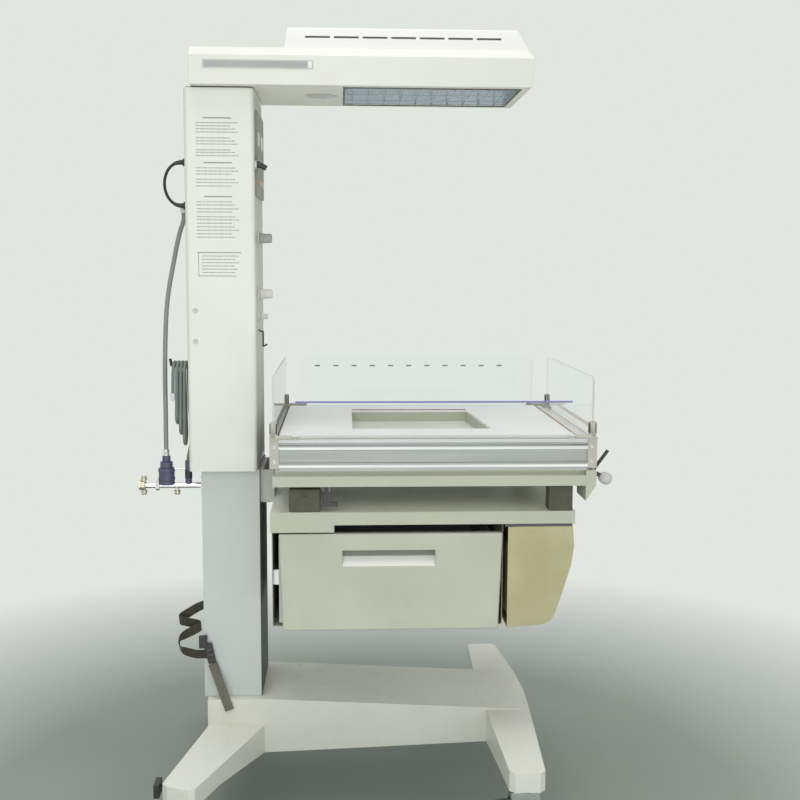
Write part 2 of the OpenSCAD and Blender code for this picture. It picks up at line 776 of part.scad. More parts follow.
// Ends of the rear hook's rod: its foot plate's face and the tip
rear_plate_x = house_x0 - 4;
hank_loops = 4;
hank_pitch = tube_d + 0.9;
hank_x0 = rear_plate_x - 6;
rear_tip_x = hank_x0 - hank_pitch * (hank_loops - 0.65) - tube_d / 2 - rear_tip_r - SLIDE;
module hooks() color(DARK) at_bed() {
  x = house_front_x + hook_reach;
  rod([house_front_x + hook_r * 0.35, -knob_y, hook_z + hook_half],
    [x, -knob_y, hook_z + hook_half - 2 * hook_r], hook_r);
  rod([x, -knob_y, hook_z + hook_half - 1.5 * hook_r], [x, -knob_y, hook_z - hook_half], hook_r);
  rod([x, -knob_y, hook_z - hook_half + hook_r / 2],
    [x + hook_lip, -knob_y, hook_z - hook_half + hook_lip * 0.6], hook_r);
  block([rear_plate_x, house_x0], [rear_y - rear_plate_half_w, rear_y + rear_plate_half_w],
    [rear_hook_z - rear_plate_half_h, rear_hook_z + rear_plate_half_h]);
  shaft_x(rear_tip_x, rear_plate_x + 1, rear_y, rear_hook_z, rear_hook_r);
  rod([rear_tip_x, rear_y, rear_hook_z - 2], [rear_tip_x - 3, rear_y, rear_hook_z + rear_tip_rise],
    rear_tip_r);
}

// Canopy
can_half = can_d / 2;
plate_z1 = can_z0 + can_plate_t;
collar_h = 40;
collar_r = post_r + 12;
heat_x1 = heat_x + heat_len;
reflector_top = plate_z1 + reflector_h;

module canopy_post() color(STEEL) at_bed() translate([low_mid_x, 0, 0]) {
  translate([0, 0, mast_top]) cylinder(r = post_r + 12, h = 6);
  translate([0, 0, mast_top]) cylinder(r = post_r, h = plate_z1 + collar_h - 2 - mast_top);
}

module canopy_form(in) intersection() {
  along(can_head_x + in, can_foot_x + can_slant + 1)
    polygon([[-can_half + in, can_z0 - (in > 0 ? 1 : 0)], [can_half - in, can_z0 - (in > 0 ? 1 : 0)],
      [can_half - in, can_side_z - in / 2], [can_half - can_bevel_in - in / 2, can_top - in],
      [-can_half + can_bevel_in + in / 2, can_top - in], [-can_half + in, can_side_z - in / 2]]);
  across(-can_half, can_half)
    polygon([[can_head_x + in, can_z0 - 2], [can_foot_x - in, can_z0 - 2],
      [can_foot_x + can_slant - in, can_side_z], [can_foot_x - 4 - in, can_top + 1],
      [can_head_x + in, can_top + 1]]);
}

module canopy_shell() color(IVORY) at_bed() difference() {
  canopy_form(0);
  canopy_form(can_wall);
  block([hood_x + 40, hood_x + hood_len - 60], [-hood_d / 2 + 30, hood_d / 2 - 30],
    [can_top - 10, can_top + 1]);
}

module canopy_plate() color(BEIGE) at_bed() difference() {
  union() {
    block([can_head_x + can_wall, can_foot_x - can_wall], [-can_half + can_wall, can_half - can_wall],
      [can_z0, plate_z1]);
    translate([low_mid_x, 0, can_z0]) cylinder(r = collar_r, h = can_plate_t + collar_h);
  }
  translate([low_mid_x, 0, can_z0 - 1]) cylinder(r = post_r + pin_fit, h = collar_h + 10);
  block([heat_x, heat_x1], [-heat_w / 2, heat_w / 2], [can_z0 - 1, plate_z1 + 1]);
  translate([lamp_x, 0, can_z0 - 1]) cylinder(r = lamp_r + 1, h = 10);
}

module vent_hood() color("white") at_bed() difference() {
  hood_form(0);
  hood_form(can_wall);
  for (i = [0 : slot_n - 1])
    block([slot_x0 + i * (slot_len + slot_rib), slot_x0 + i * (slot_len + slot_rib) + slot_len],
      [-hood_d, hood_d], [can_top + hood_h / 2, can_top + hood_h / 2 + slot_h]);
}
module hood_form(in) intersection() {
  across(-hood_d / 2, hood_d / 2)
    polygon([[hood_x + in, can_top - in], [hood_x + hood_len - in, can_top - in],
      [hood_x + hood_len - 28 - in, can_top + hood_h - in], [hood_x + 7 + in, can_top + hood_h - in]]);
  along(hood_x, hood_x + hood_len)
    polygon([[-hood_d / 2 + in, can_top - in], [hood_d / 2 - in, can_top - in],
      [hood_d / 2 - 16 - in, can_top + hood_h - in], [-hood_d / 2 + 16 + in, can_top + hood_h - in]]);
}

module reflector_form(in) along(heat_x - reflector_t + in, heat_x1 + reflector_t - in)
  polygon([[-heat_w / 2 - reflector_t + in, plate_z1 - (in > 0 ? 1 : 0)],
    [heat_w / 2 + reflector_t - in, plate_z1 - (in > 0 ? 1 : 0)],
    [heat_w / 2 - 45 - in, reflector_top - in], [-heat_w / 2 + 45 + in, reflector_top - in]]);
module heater_reflector() color("silver") at_bed() difference() {
  reflector_form(0);
  reflector_form(reflector_t);
}

module heater_element() color("dimgray") at_bed()
  for (y = [-element_y, element_y])
    shaft_x(heat_x, heat_x1, y, plate_z1 + element_rise, element_r);

grille_r = 1.2;
grille_z = can_z0 + can_plate_t / 2;
// Bars across the heater's opening, and three long ones that lie on them
module heater_grille() color(STEEL) at_bed() {
  for (x = [heat_x + grille_pitch / 2 : grille_pitch : heat_x1 - grille_r])
    shaft_y(x, -heat_w / 2, heat_w / 2, grille_z, grille_r);
  for (y = [-heat_w / 3, 0, heat_w / 3])
    shaft_x(heat_x + 5, heat_x1 - 5, y, grille_z + 2 * grille_r + pin_fit, grille_r);
}

module lamp_lens() color(CLEAR) at_bed() translate([lamp_x, 0, 0]) {
  translate([0, 0, can_z0 - SLIDE / 2]) cylinder(r = lamp_r, h = can_plate_t + SLIDE);
  translate([0, 0, plate_z1]) cylinder(r = lamp_r + 5, h = 3);
}

// Bed support and cabinet
cab_half = cab_w / 2;
top_z0 = cab_top - cab_top_h;
cover_x0 = front_x + front_w + cover_gap;
divider_x = front_x + front_w + 4;
runner_z = cab_z0 + 95;
runner_h = 35;

module bed_bracket() color("darkgray") at_bed() {
  difference() {
    block([low_front_x, cab_x0], [-bracket_half, bracket_half], [bracket_z0, bracket_z1]);
    block([low_front_x + bracket_t, cab_x0 + 1], [-bracket_half + bracket_t, bracket_half - bracket_t],
      [cab_top + bracket_t, bracket_z1 + 1]);
  }
  both_sides() block([mast_x1, low_front_x + EPS], arm_y, arm_z);
}

module cabinet_top() color(BEIGE) at_bed() difference() {
  union() {
    block([cab_x0, cab_x1], [-cab_half, cab_half], [top_z0, cab_top]);
    block([cab_x0, skirt_x], [-cab_half, -cab_half + cab_t], [top_z0 - skirt_h, cab_top]);
  }
  block([cab_x0 + cab_t, cab_x1 - cab_t], [-cab_half + cab_t, cab_half - cab_t],
    [top_z0 - 1, cab_top - cab_t]);
}

module cabinet_body() color(BEIGE) at_bed() difference() {
  block([cab_x0 + cab_t, divider_x], [-cab_half + front_t + 2, cab_half - cab_t], [cab_z0, cab_top - cab_t]);
  block([cab_x0 + 2 * cab_t, divider_x - cab_t], [-cab_half - 1, cab_half - 2 * cab_t],
    [cab_z0 + cab_t, cab_top]);
}

box_x0 = cab_x0 + 2 * cab_t + 14;
box_x1 = divider_x - cab_t - 14;
box_y1 = cab_half - 40;
box_z0 = cab_z0 + cab_t + 8;
box_z1 = top_z0 - 45;
front_y1 = -cab_half + front_t;
front_z1 = top_z0 - skirt_h - front_gap;

module drawer_box() color("gainsboro") at_bed() difference() {
  block([box_x0, box_x1], [front_y1, box_y1], [box_z0, box_z1]);
  block([box_x0 + drawer_t, box_x1 - drawer_t], [front_y1 + drawer_t, box_y1 - drawer_t],
    [box_z0 + drawer_t, box_z1 + 1]);
}

module drawer_front() color(DRAWER) at_bed() difference() {
  across(-cab_half, front_y1)
    polygon([[front_x, front_z1], [front_x + front_w, front_z1],
      [front_x + front_w - front_taper, front_z1 - front_h], [front_x + front_taper, front_z1 - front_h]]);
  along(front_x + (front_w - pocket_w) / 2 - 5, front_x + (front_w + pocket_w) / 2 - 5)
    polygon([[-cab_half - 1, pocket_z + pocket_h / 2], [-cab_half + front_t - 4, pocket_z + pocket_h / 2 + 6],
      [-cab_half + front_t - 4, pocket_z + 4], [-cab_half - 1, pocket_z - pocket_h / 2]]);
}

// Each runner is a bar on the cabinet's wall, a hair off the drawer's side
module drawer_runners() color(STEEL) at_bed()
  for (x = [[cab_x0 + 2 * cab_t, box_x0 - SEAT], [box_x1 + SEAT, divider_x - cab_t]])
    block(x, [front_y1 + 20, box_y1 + 20], [runner_z, runner_z + runner_h]);

module cover_form(in) {
  x1 = cab_x1 - 1 - in;
  z1 = top_z0 - 7 - in;
  z0 = cab_z0 + 3 + in;
  across(-cab_half + in, cab_half - in) {
    polygon([[cover_x0 - (in > 0 ? 1 : 0), z1], [x1 - 4, z1 + (in > 0 ? 0 : 7)], [x1, z1 - 45],
      [x1 - 6, z1 - 90], [x1 - 24, z1 - 150], [x1 - 44, z0 + 20 + cover_r * 0.1],
      [x1 - 52, z0 + 8 + cover_r * 0.1], [x1 - 52 - cover_r * 0.4, z0 + 4],
      [cover_x0 - (in > 0 ? 1 : 0), z0 - 4]]);
  }
}
// Tabs of the end cover: lowest edge, distance, height and half width
tab_rise = 30;
tab_pitch = 130;
tab_h = 20;
tab_half = 40;
module end_cover() color(YELLOWED) at_bed() {
  difference() {
    cover_form(0);
    cover_form(cab_t);
  }
  // Plate inside, and its tabs that screw to the cabinet's divider
  z0 = cab_z0 + tab_rise;
  for (z = [z0, z0 + tab_pitch])
    block([divider_x, cover_x0 + 8], [-tab_half, tab_half], [z, z + tab_h]);
  block([cover_x0 + 4, cover_x0 + 8], [-cab_half + cab_t - EPS, cab_half - cab_t + EPS],
    [z0 - tab_h / 2, z0 + tab_pitch + tab_h * 1.25]);
}

// Tilt
bear_half = bearing_w / 2;
bear_y0 = -cab_half + 2;
bear_y1 = bear_y0 + bearing_d;
lug_y1 = bear_y1 + 14;
rest_x = cab_x1 - 6;

module tilt_supports() color([0.42, 0.42, 0.36]) at_bed() {
  both_sides() difference() {
    block([tilt_x - bear_half, tilt_x + bear_half], [bear_y0, bear_y1], [cab_top, tilt_z + 2 * tilt_pin_r]);
    shaft_y(tilt_x, bear_y0 - 1, bear_y1 + 1, tilt_z, tilt_pin_r + pin_fit);
  }
  both_sides() block([rest_x - 55, rest_x], [bear_y0, bear_y1], [cab_top, pan_z0 - SEAT]);
}

// Bed
half_deck = deck_w / 2;
rail_y = half_tray - rail_t;
corner_z0 = rail_top + 4 - corner_h;
pan_x0 = tray_x0 + 6;
pan_x1 = tray_x1 - 24;
corner_d = 40;
strip_x0 = tray_x0 + corner_w + SLIDE;
strip_y = half_tray - corner_d - SLIDE;
ledge_w = 8;
handle_r = 5;
handle_z = pan_z0 + handle_rise;
lever_x = tilt_x + 49;
lever_z = pan_z0 - 5;
lever_y = -half_tray + 22;

module well_plan(in)
  polygon([[well_x0 + in, -well_y + in], [well_x1 + well_skew - in, -well_y + in],
    [well_x1 - in, well_y - in], [well_x0 + in, well_y - in]]);

module pan_shell() difference() {
  union() {
    block([pan_x0, pan_x1], [-half_tray, half_tray], [pan_z0, pan_z0 + pan_h]);
    block([tray_x0 + rail_t, pan_x1], [-rail_y, rail_y], [pan_z0 + pan_h - EPS, deck_z - board_t]);
    block([pan_x1 - EPS, tray_x1 - rail_t], [-rail_y, rail_y], [rail_z0, deck_z - board_t]);
  }
  block([pan_x0 + pan_t, pan_x1 - 10], [-half_tray + pan_t, half_tray - pan_t],
    [pan_z0 + pan_t, pan_z0 + pan_h - pan_t]);
  block([deck_x0 + ledge_w, deck_x1 - ledge_w], [-half_deck + ledge_w, half_deck - ledge_w],
    [pan_z0 + pan_t, deck_z]);
  // Room for the corner blocks
  for (m = [0, 1]) mirror([m, 0, 0]) both_sides()
    block([tray_x0, tray_x0 + corner_w + SEAT], [-half_tray, -half_tray + corner_d + SEAT],
      [corner_z0 - SEAT, deck_z]);
}

// Dish between the boards, on a skirt that stands on the pan's floor
module well() {
  z0 = pan_z0 + pan_t + SEAT;
  floor_z = deck_z - well_h;
  difference() {
    translate([0, 0, z0]) linear_extrude(deck_z - board_t - z0) well_plan(-pan_t);
    translate([0, 0, floor_z]) linear_extrude(well_h) well_plan(0);
    translate([0, 0, z0 - 1]) linear_extrude(floor_z - pan_t - z0 + 1) well_plan(0);
  }
}

// Pan with what is screwed to it, each a solid of its own that lies against it
module tray_pan() color(BEIGE) at_bed() {
  under = pan_z0 - SEAT;
  pan_shell();
  well();
  // Slanted ends under the foot corners, the near one with the bore of the tilt handle
  difference() {
    both_sides() across(-half_tray, -handle_y + 25)
      polygon([[pan_x1 + SEAT, pan_z0 - 35], [tray_x1, pan_z0], [tray_x1, rail_z0 - SEAT],
        [pan_x1 + SEAT, rail_z0 - SEAT]]);
    shaft_x(pan_x1, tray_x1 + 1, -handle_y, handle_z, handle_r + pin_fit);
  }
  // Lugs and pins of the tilt hinge
  both_sides() {
    block([tilt_x - 2 * tilt_pin_r, tilt_x + 2 * tilt_pin_r], [bear_y1 + SLIDE, lug_y1],
      [tilt_z - 2 * tilt_pin_r, under]);
    shaft_y(tilt_x, bear_y0 + 2, bear_y1 + SLIDE + EPS, tilt_z, tilt_pin_r);
  }
  // Lug of the small lever
  difference() {
    block([lever_x - 8, lever_x + 8], [lever_y + 8, lever_y + 16], [lever_z - 12, under]);
    shaft_y(lever_x, lever_y, lever_y + 20, lever_z - 3, pin_r + pin_fit);
  }
}

module tilt_lever() color(DARK) at_bed() {
  z = lever_z - 3;
  shaft_y(lever_x, lever_y + 2, lever_y + 18, z, pin_r);
  block([lever_x - 6, lever_x + 6], [lever_y, lever_y + 7], [z - 34, z + 5]);
  block([lever_x - 6, lever_x + 26], [lever_y, lever_y + 7], [z - 42, z - 31]);
}

// Rail profile seen from its end, the outer face towards -Y, counted from the rail's lower outer corner
module rail_outline() difference() {
  polygon([[0, 9], [2.5, 9], [2.5, 0], [rail_t, 0], [rail_t, rail_h], [2, rail_h], [2, rail_h - 7],
    [4, rail_h - 8], [4, rail_h - 13], [0, rail_h - 14], [0, rail_h - 23], [4, rail_h - 24],
    [4, 20], [0, 19]]);
  translate([rail_t - 5, 10]) square([3, rail_h - 20]);
}
module rail_along(x0, x1) along(x0, x1) translate([-half_tray, rail_z0]) rail_outline();

module rails() color(STEEL) at_bed() {
  both_sides() rail_along(tray_x0 + corner_w, tray_x1 - corner_w);
  len = half_tray - corner_d;
  for (s = [-1, 1])
    mirror([s < 0 ? 0 : 1, 0, 0])
      rotate([0, 0, -90])
        translate([0, tray_x0 + half_tray, 0])
          rail_along(-len, len);
}

hinge_y = -half_tray - 4;
hinge_z = rail_top + 6;
barrel_r = pin_r + 1.5;
clip_y0 = half_deck - 3;
foot_panel_x = tray_x1 - 8;
head_panel_x = tray_x0 + 8;
end_half = half_deck + 5;
side_x = side_len / 2;
knuckle_len = 12;
tick_x0 = 36 - side_x;

// Corner block at the foot end, near side, with a fixed knuckle and the pin of the side panel's hinge
module corner() {
  x0 = tray_x1 - corner_w;
  block([x0, tray_x1], [-half_tray, -half_tray + corner_d], [corner_z0, corner_z0 + corner_h]);
  block([x0, tray_x1], [hinge_y - barrel_r, -half_tray + EPS], [hinge_z - barrel_r, corner_z0 + corner_h]);
  shaft_x(side_x + SLIDE / 2, x0 + 8, hinge_y, hinge_z, barrel_r);
  shaft_x(side_x - knuckle_len - 1, x0 + 6, hinge_y, hinge_z, pin_r);
}

module end_clip(px) difference() {
  block([px - 8, px + 8], [-clip_y0 - 11, -clip_y0 + 1], [corner_z0 + corner_h - EPS, deck_z + clip_h]);
  block([px - acryl_t / 2 - SEAT, px + acryl_t / 2 + SEAT], [-end_half - SEAT, 0],
    [acryl_z0 - SEAT, deck_z + clip_h + 1]);
}

module corner_blocks() color([0.74, 0.73, 0.66]) at_bed() both_sides() {
  for (m = [0, 1]) mirror([m, 0, 0]) corner();
  end_clip(head_panel_x);
  end_clip(foot_panel_x);
}

module deck_boards() color("white") at_bed() difference() {
  block([deck_x0 + strip_line, deck_x1 - strip_line], [-half_deck, half_deck - strip_line],
    [deck_z - board_t, deck_z]);
  translate([0, 0, deck_z - 2 * board_t]) linear_extrude(3 * board_t) well_plan(0);
  both_sides() block([tray_x0, strip_x0], [-half_tray, -strip_y], [deck_z - 2 * board_t, deck_z + 1]);
}

// Coloured strips that close the boards' edges, level with them, between the corner blocks
module edge_strips() at_bed() {
  z = [deck_z - board_t, deck_z];
  color([0.3, 0.3, 0.6]) block([strip_x0, deck_x1], [half_deck - strip_line, half_deck], z);
  color([0.45, 0.15, 0.12]) block([deck_x1 - strip_line, deck_x1], [-half_deck, half_deck - strip_line], z);
  color(DARK) block([deck_x0, deck_x0 + strip_line], [-strip_y, strip_y], z);
}

module tilt_handle() color(DARK) at_bed() {
  y = -handle_y;
  shaft_x(pan_x1 + 4, tray_x1 + 14, y, handle_z, handle_r);
  shaft_x(tray_x1 + SLIDE, tray_x1 + 14, y, handle_z, handle_r + 4);
  rod([tray_x1 + 10, y, handle_z + 4], [grip_x + 4, y, handle_z + 48], 4);
  rod([tray_x1 + 10, y, handle_z - 4], [grip_x, y, handle_z - 16], 5);
  translate([grip_x, y, handle_z - 18]) sphere(grip_r);
}

// Side panels
module panel_plan(x0, x1, h) {
  round_rect([x0, x1], [acryl_z0, acryl_z0 + h], acryl_r);
  translate([x0, acryl_z0]) square([x1 - x0, acryl_r * 2]);
}

// Panel that folds down outwards, with a knuckle at each end of its lower edge
module side_panel(h) difference() {
  union() {
    across(-half_tray + 2, -half_tray + 2 + acryl_t) panel_plan(-side_x, side_x, h);
    for (x = [-side_x, side_x - knuckle_len]) {
      shaft_x(x, x + knuckle_len, hinge_y, hinge_z, barrel_r);
      block([x, x + knuckle_len], [hinge_y, -half_tray + 2 + EPS], [hinge_z, hinge_z + 9]);
    }
  }
  shaft_x(-side_x - 1, side_x + 1, hinge_y, hinge_z, pin_r + pin_fit);
}
module panel_near() color(CLEAR) at_bed() side_panel(near_h);
module panel_far() color(CLEAR) at_bed() {
  mirror([0, 1, 0]) side_panel(acryl_h);
  // Marks of the length scale, towards the foot end from the first one
  for (i = [0 : tick_n - 1]) {
    x = tick_x0 + i * tick_pitch;
    block([x, x + tick_len], [half_tray - 2 - acryl_t - 0.4, half_tray - 2 - acryl_t + EPS],
      [deck_z + tick_z, deck_z + tick_z + tick_h]);
  }
}

module end_panel(px) along(px - acryl_t / 2, px + acryl_t / 2) panel_plan(-end_half, end_half, acryl_h);
module panel_foot() color(CLEAR) at_bed() end_panel(foot_panel_x);
module panel_head() color(CLEAR) at_bed() end_panel(head_panel_x);

// Gas manifold behind the column, with its bracket on the lower column
manifold_z = house_z0 - 47;
fitting_x = house_x0 - 65;
fitting_r = 19;
fitting_z1 = manifold_z + 72;

nipple_r = manifold_r - 2;
nipple_len = 22;
valve_x = house_x0 - 12;
valve_r = 8;
valve_z1 = manifold_z + 61;
link_z = manifold_z + 40;
link_r = 2;
module manifold() color(STEEL) at_bed() {
  shaft_x(manifold_x0, low_x0 - 6, rear_y, manifold_z, manifold_r);
  block([low_x0 - 6, low_x0], [rear_y - 22, rear_y + 22], [manifold_z - 24, manifold_z + 24]);
  // Nipples, and the collar with the hexagon at the open end
  translate([manifold_x0 + 12, rear_y, manifold_z - nipple_len]) cylinder(r = nipple_r, h = 2 * nipple_len);
  translate([house_x0 - 40, rear_y, manifold_z - nipple_len]) cylinder(r = nipple_r, h = nipple_len);
  shaft_x(manifold_x0, manifold_x0 + 16, rear_y, manifold_z, manifold_r + 3);
  // Thin link between the fitting and the valve
  shaft_x(fitting_x + fitting_r - 5, valve_x, rear_y, link_z, link_r);
}

module hose_fitting() color([0.2, 0.22, 0.32]) at_bed() {
  z0 = manifold_z + manifold_r - 1;
  difference() {
    translate([fitting_x, rear_y, z0 - 3]) cylinder(r = fitting_r, h = 40);
    shaft_x(fitting_x - 30, fitting_x + 30, rear_y, manifold_z, manifold_r);
    shaft_x(fitting_x + fitting_r - 5, fitting_x + 30, rear_y, link_z, link_r);
  }
  translate([fitting_x, rear_y, z0 + 36]) cylinder(r = fitting_r - 4, h = 16);
  translate([fitting_x, rear_y, z0 + 50]) cylinder(r = fitting_r - 9, h = fitting_z1 - z0 - 50);
  // Valve that the stowed tube starts from
  difference() {
    translate([valve_x, rear_y, z0]) cylinder(r = valve_r, h = valve_z1 - z0);
    shaft_x(manifold_x0, low_x0, rear_y, manifold_z, manifold_r);
    shaft_x(fitting_x, valve_x, rear_y, link_z, link_r);
  }
}

// Direction of a route at one of its points
function unit(v) = v / norm(v);
function heading(p, i) =
  unit((i < len(p) - 1 ? unit(p[i + 1] - p[i]) : [0, 0, 0]) + (i > 0 ? unit(p[i] - p[i - 1]) : [0, 0, 0]));
// Ring of points round a route; side is a direction that the route never runs along
function ring(p, i, r, n, side) = let (t = heading(p, i), a = unit(cross(t, side)), b = cross(t, a))
  [for (k = [0 : n - 1]) p[i] + r * (cos(360 * k / n) * a + sin(360 * k / n) * b)];
// Points between the corners of a route, on a smooth curve through them
function smooth(p, n) = concat([for (i = [0 : len(p) - 2], k = [0 : n - 1])
  let (t = k / n, a = p[max(i - 1, 0)], b = p[i], c = p[i + 1], d = p[min(i + 2, len(p) - 1)])
    0.5 * (2 * b + (c - a) * t + (2 * a - 5 * b + 4 * c - d) * t * t + (3 * b - a - 3 * c + d) * t * t * t)],
  [p[len(p) - 1]]);
// Closed skin over rings of n points each
module skin(points, n) {
  m = len(points) / n;
  sides = [for (i = [0 : m - 2], k = [0 : n - 1]) let (a = i * n + k, b = i * n + (k + 1) % n) each
    [[a, b + n, b], [a, a + n, b + n]]];
  caps = [for (k = [1 : n - 2]) each [[0, k, k + 1], [(m - 1) * n, (m - 1) * n + k + 1, (m - 1) * n + k]]];
  polyhedron(points, concat(sides, caps));
}
module tube(p, r, n, side = [0, 1, 0]) skin([for (i = [0 : len(p) - 1]) each ring(p, i, r, n, side)], n);

// Gas hose from the elbow at the housing's back down to its fitting
hose_route = [[elbow_x, elbow_y, elbow_end_z - SEAT], [elbow_x, elbow_y, elbow_end_z - 12], [-588, -35, 1438],
  [-594, -37, 1420], [-603, -40, 1382], [-611, -43, 1340], [-619, -47, 1298], [-625, -51, 1256],
  [-629, -54, 1208], [-632, -57, 1136], [-633, rear_y, 1063], [-633, rear_y, 990], [fitting_x, rear_y, 930],
  [fitting_x, rear_y, fitting_z1 + 12], [fitting_x, rear_y, fitting_z1 + SEAT]];
module gas_hose() color("gray") at_bed() tube(smooth(hose_route, 3), hose_d / 2, 10);

// Power lead that leaves the housing's back and enters it again lower down
gland_x = house_x0 - gland_len;
lead_mid = (lead_z[0] + lead_z[1]) / 2;
lead_reach = 38;
lead_route = concat([[gland_x - SEAT, rear_y, lead_z[0]]],
  [for (a = [90 : 20 : 270]) [gland_x - 7 + lead_reach * cos(a), rear_y,
    lead_mid + (lead_z[0] - lead_mid) * sin(a)]],
  [[gland_x - SEAT, rear_y, lead_z[1]]]);
module power_loop() color(DARK) at_bed() tube(smooth(lead_route, 3), lead_d / 2, 8);

// Stowed tube: from the valve it rises into loops that hang on the rear hook, each a little shorter
hank_top = rear_hook_z + rear_hook_r + tube_d / 2 + SEAT;
hank_h = 222;
hank_shrink = 26;
hank_bend = 28;
// Place in a loop by its share of a turn: up one side, over the hook, down the other side, round below
function loop_z1() = hank_top - hank_bend;
function loop_z0(k) = hank_top - hank_h + hank_shrink * k + hank_bend;
function loop_at(k) = let (f = k - floor(k), x = hank_x0 - hank_pitch * k, z0 = loop_z0(k), z1 = loop_z1())
  f < 0.25 ? [x, rear_y + hank_bend, z0 + (z1 - z0) * f / 0.25]
  : f < 0.5 ? [x, rear_y + hank_bend * cos((f - 0.25) * 720), z1 + hank_bend * sin((f - 0.25) * 720)]
  : f < 0.75 ? [x, rear_y - hank_bend, z1 + (z0 - z1) * (f - 0.5) / 0.25]
  : [x, rear_y - hank_bend * cos((f - 0.75) * 720), z0 - hank_bend * sin((f - 0.75) * 720)];
hank_turn = 24;
hank_n = hank_loops * hank_turn - 8;
hank_points = concat([[valve_x, rear_y, valve_z1 + SEAT], [valve_x, rear_y, valve_z1 + 10],
  [-577, -57, valve_z1 + 26], [-575, -48, valve_z1 + 45], [-575, -37, valve_z1 + 66],
  [-577, -32.4, valve_z1 + 92]],
  [for (i = [3 : hank_n]) loop_at(i / hank_turn)]);
hank_gap = min([for (i = [0 : len(hank_points) - 1], j = [i + 8 : 1 : len(hank_points) - 1])
  norm(hank_points[i] - hank_points[j])]) - tube_d;
echo(least_gap_of_the_stowed_tube = hank_gap);
module tube_hank() color([0.45, 0.5, 0.48]) at_bed() tube(hank_points, tube_d / 2, 6, [1, 0, 0]);

// Strap for a gas cylinder: its loose end lies in folds behind the lower column, goes through a buckle at
// the near edge and hangs down over the base. A row holds a point and the direction across the webbing.
strap_rows = [[low_x0 - 0.4, -86, 514, 0, 0, 1], [-560, -86, 508, -0.25, 0, 1], [-580, -85, 496, -0.45, 0, 1],
  [-596, -85, 486, -0.4, 0, 1], [-604, -90, 480.5, -0.14, 0, 1], [-600, -97, 478.5, 0.07, 0, 1],
  [-588, -99, 476, 0.2, 0, 1], [-572, -99.5, 473, 0.25, 0, 1], [-558, -101, 470, 0.14, 0, 1],
  [-551, -106, 468, -0.07, 0, 1], [-555, -112, 465.5, -0.3, 0, 1], [-568, -114, 459, -0.5, 0, 1],
  [-585, -114, 450, -0.45, -0.2, 1], [-597, -113, 441, -0.4, -0.8, 0.9], [-603, -112, 429, 0, -1, 0.15],
  [-600, -112, 415, 0.2, -0.8, 0.5], [-590, -112, 407, 0.3, -0.3, 0.9], [-575, -114, 402.5, 0.15, -0.1, 1],
  [-560, -119, 401, -0.1, 0, 1], [-537, -121, 401.6, -0.2, 0, 1]];
buckle_at = [-531, -121, 419];
buckle_lean = 12;
buckle_w = 18;
buckle_t = 8;
buckle_len = 40;
tail_at = [-522.3, -121, 377.9];
tail_len = 120;
module webbing(rows, w, t) {
  p = [for (r = rows) [r[0], r[1], r[2]]];
  skin([for (i = [0 : len(p) - 1]) let (a = unit([rows[i][3], rows[i][4], rows[i][5]]),
    b = unit(cross(heading(p, i), a)) * t / 2, c = a * w / 2) each
    [p[i] + c + b, p[i] - c + b, p[i] - c - b, p[i] + c - b]], 4);
}
module cylinder_strap() color([0.42, 0.38, 0.34]) at_bed() {
  webbing(smooth(strap_rows, 2), strap_w, strap_th);
  block([-554, -535], [buckle_at[1] - buckle_t / 2 - 1, buckle_at[1] + buckle_t / 2 + 1], [417, 447]);
  translate(buckle_at) rotate([0, -buckle_lean, 0]) translate([-buckle_w / 2, -buckle_t / 2, -buckle_len])
    cube([buckle_w, buckle_t, buckle_len + 8]);
  translate(tail_at) rotate([-11, -21, 0]) rotate([0, 0, 8])
    translate([-strap_w / 2, -strap_th / 2, -tail_len]) cube([strap_w, strap_th, tail_len]);
}

base_frame();
mast();
lower_cover();
front_strip();
column_housing();
controls_panel();
fascia();
controller_box();
gas_block();
hooks();
probe_plug();
key_silence();
key_up();
key_down();
knob_flow();
knob_suction();
knob_valve();
canopy_post();
canopy_shell();
canopy_plate();
vent_hood();
heater_reflector();
heater_element();
heater_grille();
lamp_lens();
bed_bracket();
cabinet_top();
cabinet_body();
drawer_box();
drawer_front();
drawer_runners();
end_cover();
tilt_supports();
tilt_lever();
tray_pan();
rails();
corner_blocks();
deck_boards();
edge_strips();
tilt_handle();
panel_near();
panel_far();
panel_foot();
panel_head();
fork_head_near();
fork_head_far();
fork_foot_near();
fork_foot_far();
wheel_head_near();
wheel_head_far();
wheel_foot_near();
wheel_foot_far();
brake_near();
manifold();
hose_fitting();
gas_hose();
power_loop();
tube_hank();
cylinder_strap();
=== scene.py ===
import json
import math

import bmesh
import bpy
from mathutils import Matrix, Vector

